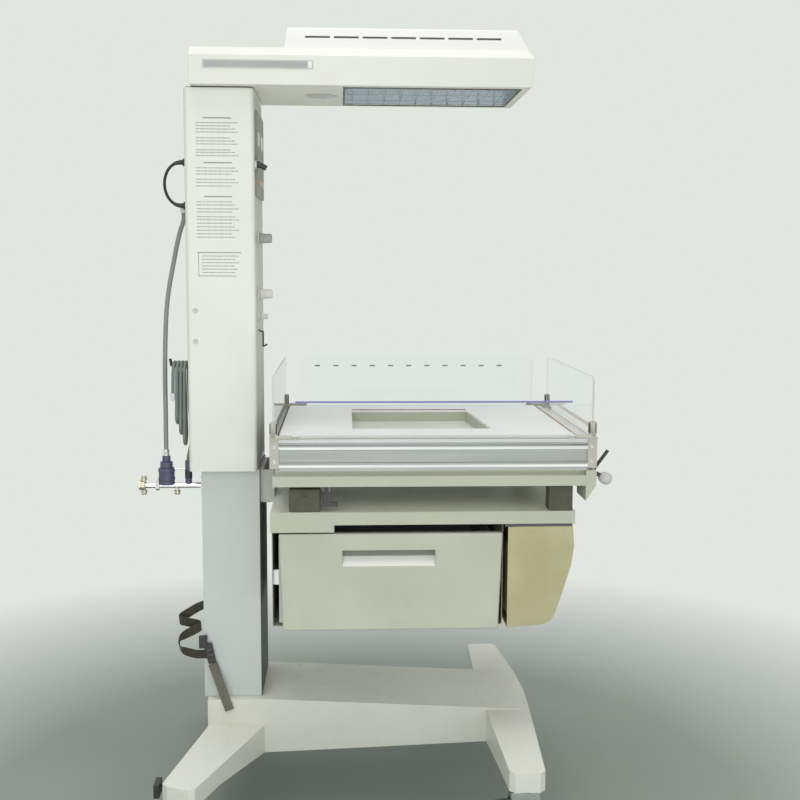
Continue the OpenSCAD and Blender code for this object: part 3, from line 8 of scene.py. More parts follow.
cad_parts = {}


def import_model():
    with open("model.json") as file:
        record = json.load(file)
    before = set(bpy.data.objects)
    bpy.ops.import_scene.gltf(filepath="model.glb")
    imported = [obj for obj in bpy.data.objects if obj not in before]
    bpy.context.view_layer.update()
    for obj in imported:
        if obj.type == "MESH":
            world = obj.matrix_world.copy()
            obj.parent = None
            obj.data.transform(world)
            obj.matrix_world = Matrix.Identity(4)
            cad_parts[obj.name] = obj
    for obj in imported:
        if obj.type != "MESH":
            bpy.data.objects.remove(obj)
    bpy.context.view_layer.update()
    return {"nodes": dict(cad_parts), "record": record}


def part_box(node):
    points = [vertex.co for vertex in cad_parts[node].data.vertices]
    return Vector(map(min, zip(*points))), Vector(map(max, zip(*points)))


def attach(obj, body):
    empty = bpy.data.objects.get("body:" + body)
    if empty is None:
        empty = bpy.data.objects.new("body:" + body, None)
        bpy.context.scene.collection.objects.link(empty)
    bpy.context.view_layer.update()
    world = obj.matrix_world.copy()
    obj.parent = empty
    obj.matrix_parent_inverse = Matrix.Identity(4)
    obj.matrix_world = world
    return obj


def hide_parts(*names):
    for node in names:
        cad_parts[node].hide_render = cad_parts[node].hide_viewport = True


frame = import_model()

BODY_OF = {n: b for b, ns in frame["record"]["behaviour"]["bodies"].items() for n in ns}
BED_X = 0.140           # the bed's middle lies this far along X in the shared frame


def P(x, y, z):
    """Point in metres of the shared frame, given in mm from the bed's middle as the part's source counts."""
    return Vector((x / 1000 + BED_X, y / 1000, z / 1000))


# Camera, solved from the straight edges of the photograph
CAMERA_AT = Vector((-0.06514, -2.84628, 1.33518))
YAW, PITCH, ROLL = -2.87, 6.55, 0.23    # degrees: to the right, down, and about the view
LENS = 51.75                            # mm on a sensor of 36 mm


def make_camera():
    yaw, pitch, roll = math.radians(YAW), math.radians(PITCH), math.radians(ROLL)
    flat = Vector((-math.sin(yaw), math.cos(yaw), 0))
    right = Vector((math.cos(yaw), math.sin(yaw), 0))
    up = Vector((0, 0, 1))
    forward = math.cos(pitch) * flat - math.sin(pitch) * up
    upward = math.cos(pitch) * up + math.sin(pitch) * flat
    cam_right = math.cos(roll) * right + math.sin(roll) * upward
    cam_up = -math.sin(roll) * right + math.cos(roll) * upward
    data = bpy.data.cameras.new("camera")
    data.sensor_width = 36
    data.sensor_fit = "HORIZONTAL"
    data.lens = LENS
    data.clip_start = 0.05
    data.clip_end = 60
    cam = bpy.data.objects.new("camera", data)
    bpy.context.scene.collection.objects.link(cam)
    pose = Matrix((cam_right, cam_up, -forward)).transposed().to_4x4()
    pose.translation = CAMERA_AT
    cam.matrix_world = pose
    bpy.context.scene.camera = cam


make_camera()


# Materials
class Nodes:
    """A material's node tree, with short calls for the nodes used here."""

    def __init__(self, name):
        self.mat = bpy.data.materials.new(name)
        self.mat.use_nodes = True
        self.tree = self.mat.node_tree
        self.bsdf = self.tree.nodes["Principled BSDF"]
        self.coord = self.tree.nodes.new("ShaderNodeTexCoord").outputs["Object"]

    def feed(self, socket, value):
        """Links the socket to another node's output, or sets its value."""
        if isinstance(value, bpy.types.NodeSocket):
            self.tree.links.new(value, socket)
        else:
            socket.default_value = value

    def add(self, kind, **inputs):
        node = self.tree.nodes.new(kind)
        for key, value in inputs.items():
            self.feed(node.inputs[key.replace("_", " ")], value)
        return node

    def set(self, **inputs):
        """Sets or links sockets of the material's own shader."""
        for key, value in inputs.items():
            self.feed(self.bsdf.inputs[key.replace("_", " ")], value)

    def scaled(self, scale):
        return self.add("ShaderNodeMapping", Vector=self.coord, Scale=scale).outputs["Vector"]

    def noise(self, scale, detail=3.0, rough=0.55, vector=None):
        node = self.add("ShaderNodeTexNoise", Vector=vector or self.coord, Scale=scale, Detail=detail,
                        Roughness=rough)
        return node.outputs["Fac"]

    def ramp(self, fac, low, high):
        node = self.add("ShaderNodeValToRGB", Fac=fac)
        node.color_ramp.elements[0].position = low
        node.color_ramp.elements[1].position = high
        return node.outputs["Color"]

    def mix(self, fac, a, b):
        node = self.tree.nodes.new("ShaderNodeMix")
        node.data_type = "RGBA"
        # The colour version of the node has its sockets at these places
        for index, value in ((0, fac), (6, a), (7, b)):
            self.feed(node.inputs[index], value)
        return node.outputs[2]

    def value(self, fac, low, high, to_low, to_high):
        node = self.add("ShaderNodeMapRange", Value=fac, From_Min=low, From_Max=high, To_Min=to_low,
                        To_Max=to_high)
        return node.outputs["Result"]

    def bump(self, height, strength, distance, normal=None):
        node = self.add("ShaderNodeBump", Height=height, Strength=strength, Distance=distance)
        if normal:
            self.tree.links.new(normal, node.inputs["Normal"])
        return node.outputs["Normal"]


def rgba(c, k=1.0):
    return (min(c[0] * k, 1), min(c[1] * k, 1), min(c[2] * k, 1), 1)


def painted(name, colour, rough=0.38, grime=(0.42, 0.40, 0.33), amount=0.10, scuffs=0.0):
    """Powder coat or enamel: uneven colour, faint grime, fine orange peel, and scuff marks where asked."""
    n = Nodes(name)
    broad = n.noise(2.6, 5, 0.6)
    patch = n.noise(17, 4, 0.6)
    col = n.mix(n.ramp(broad, 0.35, 0.68), rgba(colour, 0.965), rgba(colour, 1.02))
    col = n.mix(n.value(patch, 0.55, 0.8, 0, amount), col, rgba(grime))
    speck = n.noise(140, 2, 0.5)
    col = n.mix(n.value(speck, 0.70, 0.78, 0, 0.35 * min(1, amount * 5)), col, rgba(grime, 0.7))
    if scuffs:
        streak = n.noise(60, 3, 0.6, n.scaled((1.0, 0.35, 3.0)))
        col = n.mix(n.value(streak, 0.66, 0.74, 0, scuffs), col, rgba(grime, 0.55))
    fine = n.noise(420, 2, 0.5)
    n.set(Base_Color=col, Roughness=n.value(patch, 0.3, 0.75, rough - 0.05, rough + 0.09),
          Normal=n.bump(fine, 0.06, 0.0006, n.bump(broad, 0.04, 0.004)), Coat_Weight=0.15,
          Coat_Roughness=0.25)
    return n.mat


def plastic(name, colour, rough=0.45, grain=0.10, second=None, spread=3.0, grime=0.06):
    """Moulded plastic: fine grain and a slow change of tone."""
    n = Nodes(name)
    slow = n.noise(spread, 5, 0.6)
    col = n.mix(n.ramp(slow, 0.38, 0.66), rgba(colour), rgba(second or colour, 1.0 if second else 0.94))
    dirt = n.noise(28, 4, 0.65)
    col = n.mix(n.value(dirt, 0.58, 0.8, 0, grime), col, rgba(colour, 0.55))
    fine = n.noise(900, 2, 0.5)
    n.set(Base_Color=col, Roughness=n.value(dirt, 0.3, 0.7, rough - 0.05, rough + 0.08),
          Normal=n.bump(fine, grain, 0.0004))
    return n.mat


def brushed(name, colour, rough=0.30, along=(3, 260, 260), depth=0.12):
    """Metal with fine lines along one direction."""
    n = Nodes(name)
    lines = n.noise(1.0, 4, 0.6, n.scaled(along))
    tone = n.noise(6, 4, 0.6)
    col = n.mix(n.value(lines, 0.3, 0.7, 0, 1), rgba(colour, 0.90), rgba(colour, 1.05))
    col = n.mix(n.value(tone, 0.5, 0.8, 0, 0.12), col, rgba(colour, 0.7))
    n.set(Base_Color=col, Metallic=1.0, Roughness=n.value(lines, 0.25, 0.75, rough - 0.06, rough + 0.12),
          Normal=n.bump(lines, depth, 0.0004), Anisotropic=0.4)
    return n.mat


def polished(name, colour, rough=0.16, smudge=0.18):
    """Chrome or bright steel with smudges."""
    n = Nodes(name)
    cloud = n.noise(24, 5, 0.65)
    fine = n.noise(600, 2, 0.5)
    col = n.mix(n.value(cloud, 0.5, 0.8, 0, 0.35), rgba(colour), rgba(colour, 0.75))
    n.set(Base_Color=col, Metallic=1.0, Roughness=n.value(cloud, 0.3, 0.75, rough, rough + smudge),
          Normal=n.bump(fine, 0.03, 0.0003))
    return n.mat


def rubber(name, colour, rough=0.55, dust=0.2):
    """Rubber or soft hose: dust lies on it unevenly."""
    n = Nodes(name)
    cloud = n.noise(22, 5, 0.65)
    fine = n.noise(700, 3, 0.6)
    col = n.mix(n.value(cloud, 0.42, 0.78, 0, dust), rgba(colour), (0.55, 0.54, 0.50, 1))
    n.set(Base_Color=col, Roughness=n.value(cloud, 0.3, 0.7, rough - 0.08, rough + 0.12),
          Normal=n.bump(fine, 0.14, 0.0005), Specular_IOR_Level=0.35)
    return n.mat


def clear(name, colour=(0.97, 0.99, 0.99), rough=0.02, haze=0.05, through=1.0):
    """Clear acrylic sheet with faint wipe marks, or its cut edge, which lets less light through."""
    n = Nodes(name)
    wipe = n.noise(1.0, 4, 0.6, n.scaled((14, 14, 60)))
    n.set(Base_Color=rgba(colour), Transmission_Weight=through, IOR=1.30,
          Roughness=n.value(wipe, 0.45, 0.75, rough, rough + haze), Normal=n.bump(wipe, 0.015, 0.0005))
    return n.mat


def webbing_material(name, colour):
    """Woven tape: fine cross ribs with a slower change of tone."""
    n = Nodes(name)
    ribs = n.add("ShaderNodeTexWave", Vector=n.coord, Scale=420.0, Distortion=1.2, Detail=2.0)
    ribs.bands_direction = "Z"
    warp = n.add("ShaderNodeTexWave", Vector=n.coord, Scale=300.0, Distortion=0.8, Detail=1.0)
    warp.bands_direction = "Y"
    slow = n.noise(16, 5, 0.65)
    both = n.mix(0.5, ribs.outputs["Color"], warp.outputs["Color"])
    col = n.mix(n.ramp(slow, 0.35, 0.7), rgba(colour, 0.8), rgba(colour, 1.2))
    col = n.mix(0.35, col, n.mix(both, rgba(colour, 0.45), rgba(colour, 1.4)))
    n.set(Base_Color=col, Roughness=n.value(slow, 0.3, 0.7, 0.75, 0.92), Sheen_Weight=0.25,
          Sheen_Roughness=0.5, Normal=n.bump(both, 0.35, 0.0006), Specular_IOR_Level=0.25)
    return n.mat


# Colours are as they would be under even white light, but for the copies marked below as painted light or
# painted shade; each key is the name that the pieces below use
MAT = {
    "ivory": painted("ivory", (0.80, 0.81, 0.745), 0.36, amount=0.05),
    # The base is the column's ivory, a little darker as painted shade for the dimmer light near the floor;
    # its grime and scuffs are wear
    "base": painted("base_ivory_shade_and_wear", (0.775, 0.79, 0.705), 0.40, amount=0.16, scuffs=0.22),
    "canopy": painted("canopy_ivory", (0.785, 0.795, 0.73), 0.36, amount=0.05),
    "bluish": painted("bluish", (0.585, 0.625, 0.605), 0.40, amount=0.05),
    "hood": painted("hood_white", (0.86, 0.86, 0.84), 0.40, amount=0.03),
    "beige": painted("beige", (0.47, 0.49, 0.39), 0.42, amount=0.08),
    # Lighter copy of the beige: painted light on the cabinet's top, which lies in the tray's shade
    "beige_top_painted_light": painted("beige_top_painted_light", (0.82, 0.84, 0.73), 0.42, amount=0.06),
    "underside": painted("underside", (0.80, 0.80, 0.70), 0.5, amount=0.10),
    "fascia": plastic("fascia", (0.30, 0.31, 0.27), 0.5, 0.10),
    "front": plastic("controls_front", (0.66, 0.67, 0.60), 0.5, 0.10),
    "drawer": plastic("drawer", (0.45, 0.475, 0.375), 0.45, 0.12, second=(0.50, 0.525, 0.425), spread=4),
    "liner_painted_shade": plastic("liner_painted_shade", (0.55, 0.56, 0.53), 0.5, 0.08),
    # Painted highlight on the grip pocket's lower slope and painted shade on its roof and back wall
    "grip_ramp_painted_highlight": plastic("grip_ramp_painted_highlight", (0.82, 0.83, 0.76), 0.45, 0.10),
    "grip_shade": plastic("grip_shade", (0.19, 0.20, 0.16), 0.5, 0.12),
    # Lighter than the pan's beige: painted light on the well's floor
    "well_floor_painted_light": painted("well_floor_painted_light", (0.80, 0.80, 0.725), 0.42, amount=0.08),
    "yellowed": plastic("yellowed", (0.39, 0.372, 0.195), 0.5, 0.12, second=(0.48, 0.465, 0.285), spread=7,
                        grime=0.10),
    "corner": plastic("corner", (0.48, 0.465, 0.40), 0.5, 0.10),
    "deck": plastic("deck", (0.90, 0.90, 0.885), 0.42, 0.06, grime=0.05),
    "olive": rubber("olive_rubber", (0.075, 0.08, 0.052), 0.7, 0.08),
    "clear": clear("clear_acrylic"),
    "acryl_edge": clear("acrylic_edge", (0.86, 0.90, 0.885), 0.30, 0.1, 0.35),
    "mark": plastic("print_mark", (0.30, 0.31, 0.31), 0.6, 0.05),
    "print": plastic("print_grey", (0.36, 0.37, 0.35), 0.6, 0.05),
    "print_pale": plastic("print_pale", (0.46, 0.47, 0.45), 0.6, 0.05),
    "label_dark": plastic("label_dark", (0.42, 0.44, 0.42), 0.5, 0.05),
    "bracket": painted("bracket_grey", (0.52, 0.53, 0.49), 0.42, amount=0.08),
    "knob_grey": plastic("knob_grey", (0.60, 0.60, 0.57), 0.4, 0.08),
    "amber": plastic("led_amber", (0.60, 0.32, 0.06), 0.25, 0.02),
    "label": plastic("label_grey", (0.60, 0.62, 0.59), 0.45, 0.05),
    "violet": plastic("violet_edge", (0.24, 0.22, 0.50), 0.4, 0.05),
    "redbrown": plastic("red_edge", (0.26, 0.045, 0.03), 0.5, 0.05),
    "alu": brushed("rail_aluminium", (0.66, 0.675, 0.69), 0.36),
    # Painted shade on the rails' bands and painted highlights on their lips' edges, darker and lighter than
    # the aluminium
    "alu_band_painted_shade": brushed("rail_band_painted_shade", (0.40, 0.415, 0.41), 0.42),
    "alu_lip_painted_highlight": brushed("rail_lip_painted_highlight", (0.82, 0.83, 0.84), 0.32),
    "reflector": brushed("reflector", (0.52, 0.60, 0.66), 0.28, (200, 4, 200), 0.05),
    "grille": brushed("grille_wire", (0.42, 0.48, 0.51), 0.40),
    "steel": brushed("plain_steel", (0.55, 0.56, 0.58), 0.38, (200, 200, 3)),
    "chrome": polished("bright_steel", (0.72, 0.73, 0.74)),
    "brass": polished("brass_fitting", (0.66, 0.60, 0.45), 0.25),
    "grey_paint": painted("grey_paint", (0.40, 0.41, 0.41), 0.45, amount=0.12),
    "element": polished("element_sheath", (0.30, 0.29, 0.28), 0.4),
    "lamp": plastic("lamp_glass", (0.20, 0.20, 0.145), 0.18, 0.03),
    "black": plastic("black_plastic", (0.028, 0.028, 0.030), 0.45, 0.12),
    "black_metal": painted("black_metal", (0.035, 0.035, 0.038), 0.35, (0.3, 0.3, 0.3), 0.05),
    "gap": plastic("dark_strip", (0.075, 0.08, 0.08), 0.6, 0.10),
    "slot_mesh": plastic("slot_mesh", (0.30, 0.27, 0.24), 0.7, 0.2),
    "orange": plastic("orange_key", (0.75, 0.33, 0.06), 0.35, 0.05),
    "grey_key": plastic("grey_key", (0.62, 0.63, 0.65), 0.4, 0.05),
    "green_knob": plastic("green_knob", (0.36, 0.38, 0.345), 0.4, 0.08),
    "white_knob": plastic("white_knob", (0.68, 0.69, 0.64), 0.4, 0.08),
    "display": plastic("display_glass", (0.03, 0.012, 0.012), 0.12, 0.01),
    "led": plastic("led_green", (0.15, 0.55, 0.22), 0.25, 0.02),
    "tyre": rubber("tyre", (0.055, 0.057, 0.06), 0.6, 0.25),
    "hub": plastic("hub_grey", (0.60, 0.61, 0.60), 0.45, 0.08, grime=0.2),
    "hose": rubber("grey_hose", (0.27, 0.285, 0.29), 0.45, 0.12),
    "lead": rubber("black_lead", (0.022, 0.022, 0.025), 0.5, 0.05),
    "tube": rubber("green_grey_tube", (0.20, 0.235, 0.215), 0.3, 0.10),
    "fitting": plastic("blue_grey_fitting", (0.085, 0.095, 0.165), 0.4, 0.06),
    "webbing": webbing_material("webbing", (0.17, 0.165, 0.13)),
    "webbing_painted_shade": webbing_material("webbing_painted_shade", (0.055, 0.052, 0.036)),
    "white_clip": plastic("white_clip", (0.80, 0.80, 0.78), 0.4, 0.05),
}


# Mesh helpers
def finish_mesh(bm, name, mat, angle=35):
    """An object of the mesh, smooth but for edges sharper than the angle."""
    bmesh.ops.recalc_face_normals(bm, faces=bm.faces)
    mesh = bpy.data.meshes.new(name)
    bm.to_mesh(mesh)
    bm.free()
    mesh.materials.append(MAT[mat])
    mesh.polygons.foreach_set("use_smooth", [True] * len(mesh.polygons))
    mesh.set_sharp_from_angle(angle=math.radians(angle))
    obj = bpy.data.objects.new(name, mesh)
    bpy.context.scene.collection.objects.link(obj)
    # Broad faces stay flat beside their rounded edges
    flat = obj.modifiers.new("flat_faces", "WEIGHTED_NORMAL")
    flat.keep_sharp = True
    return obj


def place(obj, body, replaces=()):
    """Ties the piece to its body, and where given hides the nodes that it stands for."""
    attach(obj, body)
    if replaces:
        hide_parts(*replaces)
    return obj


def bevel(bm, width, segments=3, longer=0.0, convex=False):
    """Rounds the mesh's sharp edges; longer leaves out short ones, convex leaves out inner ones."""
    sharp = math.radians(28)
    edges = [e for e in bm.edges if len(e.link_faces) == 2 and e.calc_face_angle(0) >= sharp
             and e.calc_length() >= longer and (e.is_convex or not convex)]
    if edges:
        bmesh.ops.bevel(bm, geom=edges, offset=width, segments=segments, profile=0.5, affect="EDGES",
                        clamp_overlap=True)


def skin(node, mat, width, segments=3, longer=0.0, convex=False):
    """A node's own shape with rounded edges, in place of the node."""
    bm = bmesh.new()
    bm.from_mesh(frame["nodes"][node].data)
    bmesh.ops.remove_doubles(bm, verts=bm.verts, dist=1e-6)
    bmesh.ops.recalc_face_normals(bm, faces=bm.faces)
    bmesh.ops.dissolve_limit(bm, angle_limit=math.radians(0.6), verts=bm.verts, edges=bm.edges)
    bevel(bm, width, segments, longer, convex)
    return place(finish_mesh(bm, node + "_skin", mat), BODY_OF[node], [node])


def paint(obj, mat, pick):
    """Another material for the faces that pick(face) names."""
    obj.data.materials.append(MAT[mat])
    for face in obj.data.polygons:
        if pick(face):
            face.material_index = len(obj.data.materials) - 1


def coat(node, mat):
    """The CAD node itself with a procedural material."""
    obj = frame["nodes"][node]
    obj.data.materials.clear()
    obj.data.materials.append(MAT[mat])
    obj.data.polygons.foreach_set("use_smooth", [True] * len(obj.data.polygons))
    obj.data.set_sharp_from_angle(angle=math.radians(30))


def box_bm(bm, lo, hi):
    """Adds a box between two corners to the mesh."""
    verts = [bm.verts.new((x, y, z)) for x in (lo[0], hi[0]) for y in (lo[1], hi[1]) for z in (lo[2], hi[2])]
    for q in ((0, 1, 3, 2), (4, 6, 7, 5), (0, 4, 5, 1), (2, 3, 7, 6), (0, 2, 6, 4), (1, 5, 7, 3)):
        bm.faces.new([verts[i] for i in q])


def block(name, lo, hi, mat, body, r=0.001, segments=3, replaces=()):
    """A box as a piece of its own, its edges rounded where r isn't 0."""
    bm = bmesh.new()
    box_bm(bm, lo, hi)
    if r:
        bevel(bm, r, segments)
    return place(finish_mesh(bm, name, mat), body, replaces)


def turned(name, profile, centre, axis, mat, body, n=48, replaces=()):
    """Solid of revolution: profile is (radius, place along the axis) pairs."""
    axis = Vector(axis).normalized()
    turn = Vector((0, 0, 1)).rotation_difference(axis)
    bm = bmesh.new()
    rings = []
    for r, h in profile:
        if r < 1e-7:
            rings.append([bm.verts.new(Vector(centre) + turn @ Vector((0, 0, h)))])
            continue
        circle = [(r * math.cos(2 * math.pi * k / n), r * math.sin(2 * math.pi * k / n), h) for k in range(n)]
        rings.append([bm.verts.new(Vector(centre) + turn @ Vector(c)) for c in circle])
    for a, b in zip(rings, rings[1:]):
        for k in range(n):
            j = (k + 1) % n
            if len(a) == 1 and len(b) == 1:
                continue
            if len(a) == 1:
                bm.faces.new((a[0], b[j], b[k]))
            elif len(b) == 1:
                bm.faces.new((a[k], a[j], b[0]))
            else:
                bm.faces.new((a[k], a[j], b[j], b[k]))
    return place(finish_mesh(bm, name, mat), body, replaces)


def spline(points, steps):
    """Smooth curve through the points."""
    out = []
    for i in range(len(points) - 1):
        a, b, c, d = (Vector(points[max(i - 1, 0)]), Vector(points[i]), Vector(points[i + 1]),
                      Vector(points[min(i + 2, len(points) - 1)]))
        for k in range(steps):
            t = k / steps
            out.append(0.5 * (2 * b + (c - a) * t + (2 * a - 5 * b + 4 * c - d) * t * t
                              + (3 * b - a - 3 * c + d) * t ** 3))
    out.append(Vector(points[-1]))
    return out


def close_rings(bm, rings):
    """Faces between rings of as many points each, and over both ends."""
    n = len(rings[0])
    for a, b in zip(rings, rings[1:]):
        for k in range(n):
            j = (k + 1) % n
            bm.faces.new((a[k], a[j], b[j], b[k]))
    bm.faces.new(rings[0][::-1])
    bm.faces.new(rings[-1])


def tube(name, path, radii, mat, body, n=16, replaces=()):
    """Round tube along the points, with a radius for each of them."""
    bm = bmesh.new()
    rings = []
    side = Vector((0, 1, 0))
    for i, (p, r) in enumerate(zip(path, radii)):
        t = (path[min(i + 1, len(path) - 1)] - path[max(i - 1, 0)]).normalized()
        side = (side - side.dot(t) * t).normalized()
        up = t.cross(side)
        turns = [2 * math.pi * k / n for k in range(n)]
        rings.append([bm.verts.new(p + r * (math.cos(a) * side + math.sin(a) * up)) for a in turns])
    close_rings(bm, rings)
    return place(finish_mesh(bm, name, mat, 50), body, replaces)


# Cords: their routes repeat the part's own, in mm
HOSE_D, LEAD_D, TUBE_D = 0.011, 0.007, 0.008
REAR_Y = -60            # the manifold, the hank and the lead's loop lie in this plane
HOSE_ROUTE = [(-585, -34, 1463.7), (-585, -34, 1452), (-588, -35, 1438), (-594, -37, 1420),
              (-603, -40, 1382), (-611, -43, 1340), (-619, -47, 1298), (-625, -51, 1256), (-629, -54, 1208),
              (-632, -57, 1136), (-633, -60, 1063), (-633, -60, 990), (-633.5, -60, 930),
              (-633.5, -60, 891), (-633.5, -60, 879.3)]
# The lead leaves one gland and enters the other, with half an ellipse between them
LEAD_Z, LEAD_X, LEAD_REACH = (1581, 1480), -587.5, 38
LEAD_MID, LEAD_HALF = sum(LEAD_Z) / 2, (LEAD_Z[0] - LEAD_Z[1]) / 2
LEAD_ROUTE = [(-580.8, REAR_Y, LEAD_Z[0])]
LEAD_ROUTE += [(LEAD_X + LEAD_REACH * math.cos(math.radians(a)), REAR_Y,
                LEAD_MID + LEAD_HALF * math.sin(math.radians(a))) for a in range(90, 271, 20)]
LEAD_ROUTE += [(-580.8, REAR_Y, LEAD_Z[1])]
RELIEF_POINTS = 19      # the lead's strain reliefs cover so many points of its smooth path
# The stowed tube rises from its outlet to the hook and then winds; each turn is shorter and further out
HANK_START = [(-580.5, -60, 868.3), (-580.5, -60, 878), (-577, -57, 894), (-575, -48, 913), (-575, -37, 934),
              (-577, -32.4, 960)]
HANK_TOP, HANK_H, HANK_SHRINK, HANK_BEND = 1108.3, 222, 26, 28
HANK_LOOPS, HANK_PITCH, HANK_X0 = 4, 8.9, -578.5
HANK_END = HANK_LOOPS - 1 / 3


def hank_point(k):
    """Point on the stowed tube, k turns along it: up, over the hook, down and round below."""
    turn = k - math.floor(k)
    x = HANK_X0 - HANK_PITCH * k
    high = HANK_TOP - HANK_BEND
    low = HANK_TOP - HANK_H + HANK_SHRINK * k + HANK_BEND
    if turn < 0.25:
        return x, REAR_Y + HANK_BEND, low + (high - low) * turn / 0.25
    if turn < 0.5:
        a = (turn - 0.25) * 4 * math.pi
        return x, REAR_Y + HANK_BEND * math.cos(a), high + HANK_BEND * math.sin(a)
    if turn < 0.75:
        return x, REAR_Y - HANK_BEND, high + (low - high) * (turn - 0.5) / 0.25
    a = (turn - 0.75) * 4 * math.pi
    return x, REAR_Y - HANK_BEND * math.cos(a), low - HANK_BEND * math.sin(a)


def cord_piece(name, path, diameter, mat, node):
    """A cord in place of its plain node."""
    obj = tube(name, path, [diameter / 2] * len(path), mat, "frame", 20, [node])


def cords():
    """Gas hose, power lead and stowed tube, with the hard pieces on their ends."""
    hose = spline([P(*p) for p in HOSE_ROUTE], 8)
    ferrule = turned("hose_ferrule", [(0.0072, 0), (0.0074, 0.001), (0.0074, 0.013), (0.0066, 0.015),
                                      (0.0058, 0.016)],
                     P(-633.5, REAR_Y, 879.4), (0, 0, 1), "chrome", "frame", 32)
    cord_piece("gas_hose_line", hose, HOSE_D, "hose", "gas_hose")
    lead = spline([P(*p) for p in LEAD_ROUTE], 8)
    # Both reliefs taper along the lead and have a rib at every third point
    last = RELIEF_POINTS - 1
    radii = [0.0066 - 0.0026 * k / last + (0.00045 if k % 3 == 0 and k < last - 3 else 0)
             for k in range(RELIEF_POINTS)]
    gland = [(0.0094, 0), (0.0112, 0), (0.0112, 0.004), (0.0094, 0.0045), (0.0094, 0.0118), (0.0086, 0.0126),
             (0, 0.0126)]
    for i, (z, path) in enumerate(zip(LEAD_Z, (lead, lead[::-1]))):
        tube(f"lead_relief_{i + 1}", path[:RELIEF_POINTS], radii, "black", "frame", 24)
        turned(f"lead_gland_{i + 1}", gland, P(-568.5, REAR_Y, z), (-1, 0, 0), "black", "frame", 32)
    cord_piece("power_lead_line", lead, LEAD_D, "lead", "power_loop")
    # The formula takes over half way up the first strand
    hank = spline([P(*p) for p in HANK_START], 6)[:-1]
    steps = 96
    hank += [P(*hank_point(i / steps)) for i in range(steps // 8, int(HANK_END * steps) + 1)]
    end = hank[-1]
    tip = turned("stowed_tube_tip", [(0.0042, -0.002), (0.0056, 0), (0.0056, 0.010), (0.0042, 0.013),
                                     (0.0024, 0.016)],
                 end, (end - hank[-2]).normalized(), "white_clip", "frame", 24)
    cord_piece("stowed_tube_line", hank, TUBE_D, "tube", "tube_hank")


cords()


# Upper column and canopy
SIDE_Y = -140           # near face of the upper column, mm
CANOPY_Y = -169         # near face of the canopy, mm
DASH_HEIGHT = 2.4       # of the printed rows, mm
KNOB_FACE_X = -401.5    # foot of a knob's skirt, mm
KNOB_FLUTES = 12


def printed_notes():
    """Plain blocks on the column's side: headings and rows of dashes, with no letters."""
    heads = bmesh.new()
    rows = bmesh.new()

    def bar(bm, x0, x1, z, height):
        box_bm(bm, P(x0, SIDE_Y - 0.2, z - height / 2), P(x1, SIDE_Y + 0.05, z + height / 2))

    def dashes(x0, x1, z, seed):
        x, k = x0, seed
        while x < x1 - 3:
            k += 1
            wide = 4 + 2.3 * (k * 7 % 5)
            bar(rows, x, min(x + wide, x1), z, DASH_HEIGHT)
            x += wide + 1.2

    # Height of each block's heading, and of its rows
    blocks = ((1675, (1664, 1657, 1650, 1643, 1630, 1623, 1616, 1603, 1597, 1590)),
              (1574, (1562, 1555, 1548, 1536, 1529, 1521)),
              (1497, (1485, 1478, 1469, 1462, 1451, 1444, 1436, 1428, 1420, 1412, 1404)))
    for i, (head, lines) in enumerate(blocks):
        bar(heads, -524, -459, head, 3.0)
        for j, z in enumerate(lines):
            dashes(-541, -442 - 9 * ((i + 2 * j) % 3), z, 3 * i + 5 * j)
    # The last block has ruled lines above, below and on its left
    bar(heads, -541, -440, 1369, 2.2)
    bar(heads, -539, -452, 1315, 1.8)
    bar(heads, -539, -537.4, 1342, 54)
    for j in range(6):
        dashes(-531, -446 - 8 * (j % 2), 1361 - 7.6 * j, 4 + 3 * j)
    place(finish_mesh(heads, "note_headings", "print"), "frame")
    place(finish_mesh(rows, "note_rows", "print_pale"), "frame")


def upper_column():
    """Housing, a dark strip of painted shade in the gap under the canopy, and the fascia with two bare
    windows, lamps and keys.
    """
    skin("column_housing", "ivory", 0.003, 4, longer=0.05)
    skin("controls_panel", "front", 0.001, 2, longer=0.02)
    printed_notes()
    for i, z in enumerate((1235, 1163)):
        turned(f"cover_screw_{i + 1}", [(0.0062, 0), (0.0062, 0.0008), (0.0052, 0.0016), (0.0048, 0.0016),
                                        (0.0040, 0.0008), (0, 0.0008)], P(-548, SIDE_Y - 0.01, z), (0, -1, 0),
               "label", "frame", 32)
    # Dark strip on the housing's top: painted shade for the narrow gap under the canopy
    block("canopy_gap_shade", P(-563, -134, 1742.8), P(-414, 134, 1745.2), "gap", "frame", 0)
    skin("fascia", "fascia", 0.0012, 3, longer=0.01)
    lo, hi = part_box("fascia")
    led = [(0.0019, 0), (0.0017, 0.0009), (0.0009, 0.0016), (0, 0.0018)]
    for name, y in (("near", -0.0525), ("far", 0.0525)):
        block("display_" + name, (hi.x - 0.0009, y - 0.0378, lo.z + 0.1182),
              (hi.x - 0.0002, y + 0.0378, lo.z + 0.1498), "display", "frame", 0.0002, 2)
        for k in range(4):
            at = (hi.x, y - 0.027 + 0.018 * k, lo.z + 0.100)
            turned(f"led_{name}_{k}", led, at, (1, 0, 0), "led" if k == 0 else "amber", "frame", 20)
    for key, mat in (("key_silence", "orange"), ("key_up", "grey_key"), ("key_down", "grey_key")):
        skin(key, mat, 0.0012, 3)
    skin("probe_plug", "black", 0.0008, 3, longer=0.004)
    coat("hooks", "black_metal")
    coat("mast", "grey_paint")
    for node in ("canopy_post", "controller_box", "gas_block"):
        coat(node, "steel")


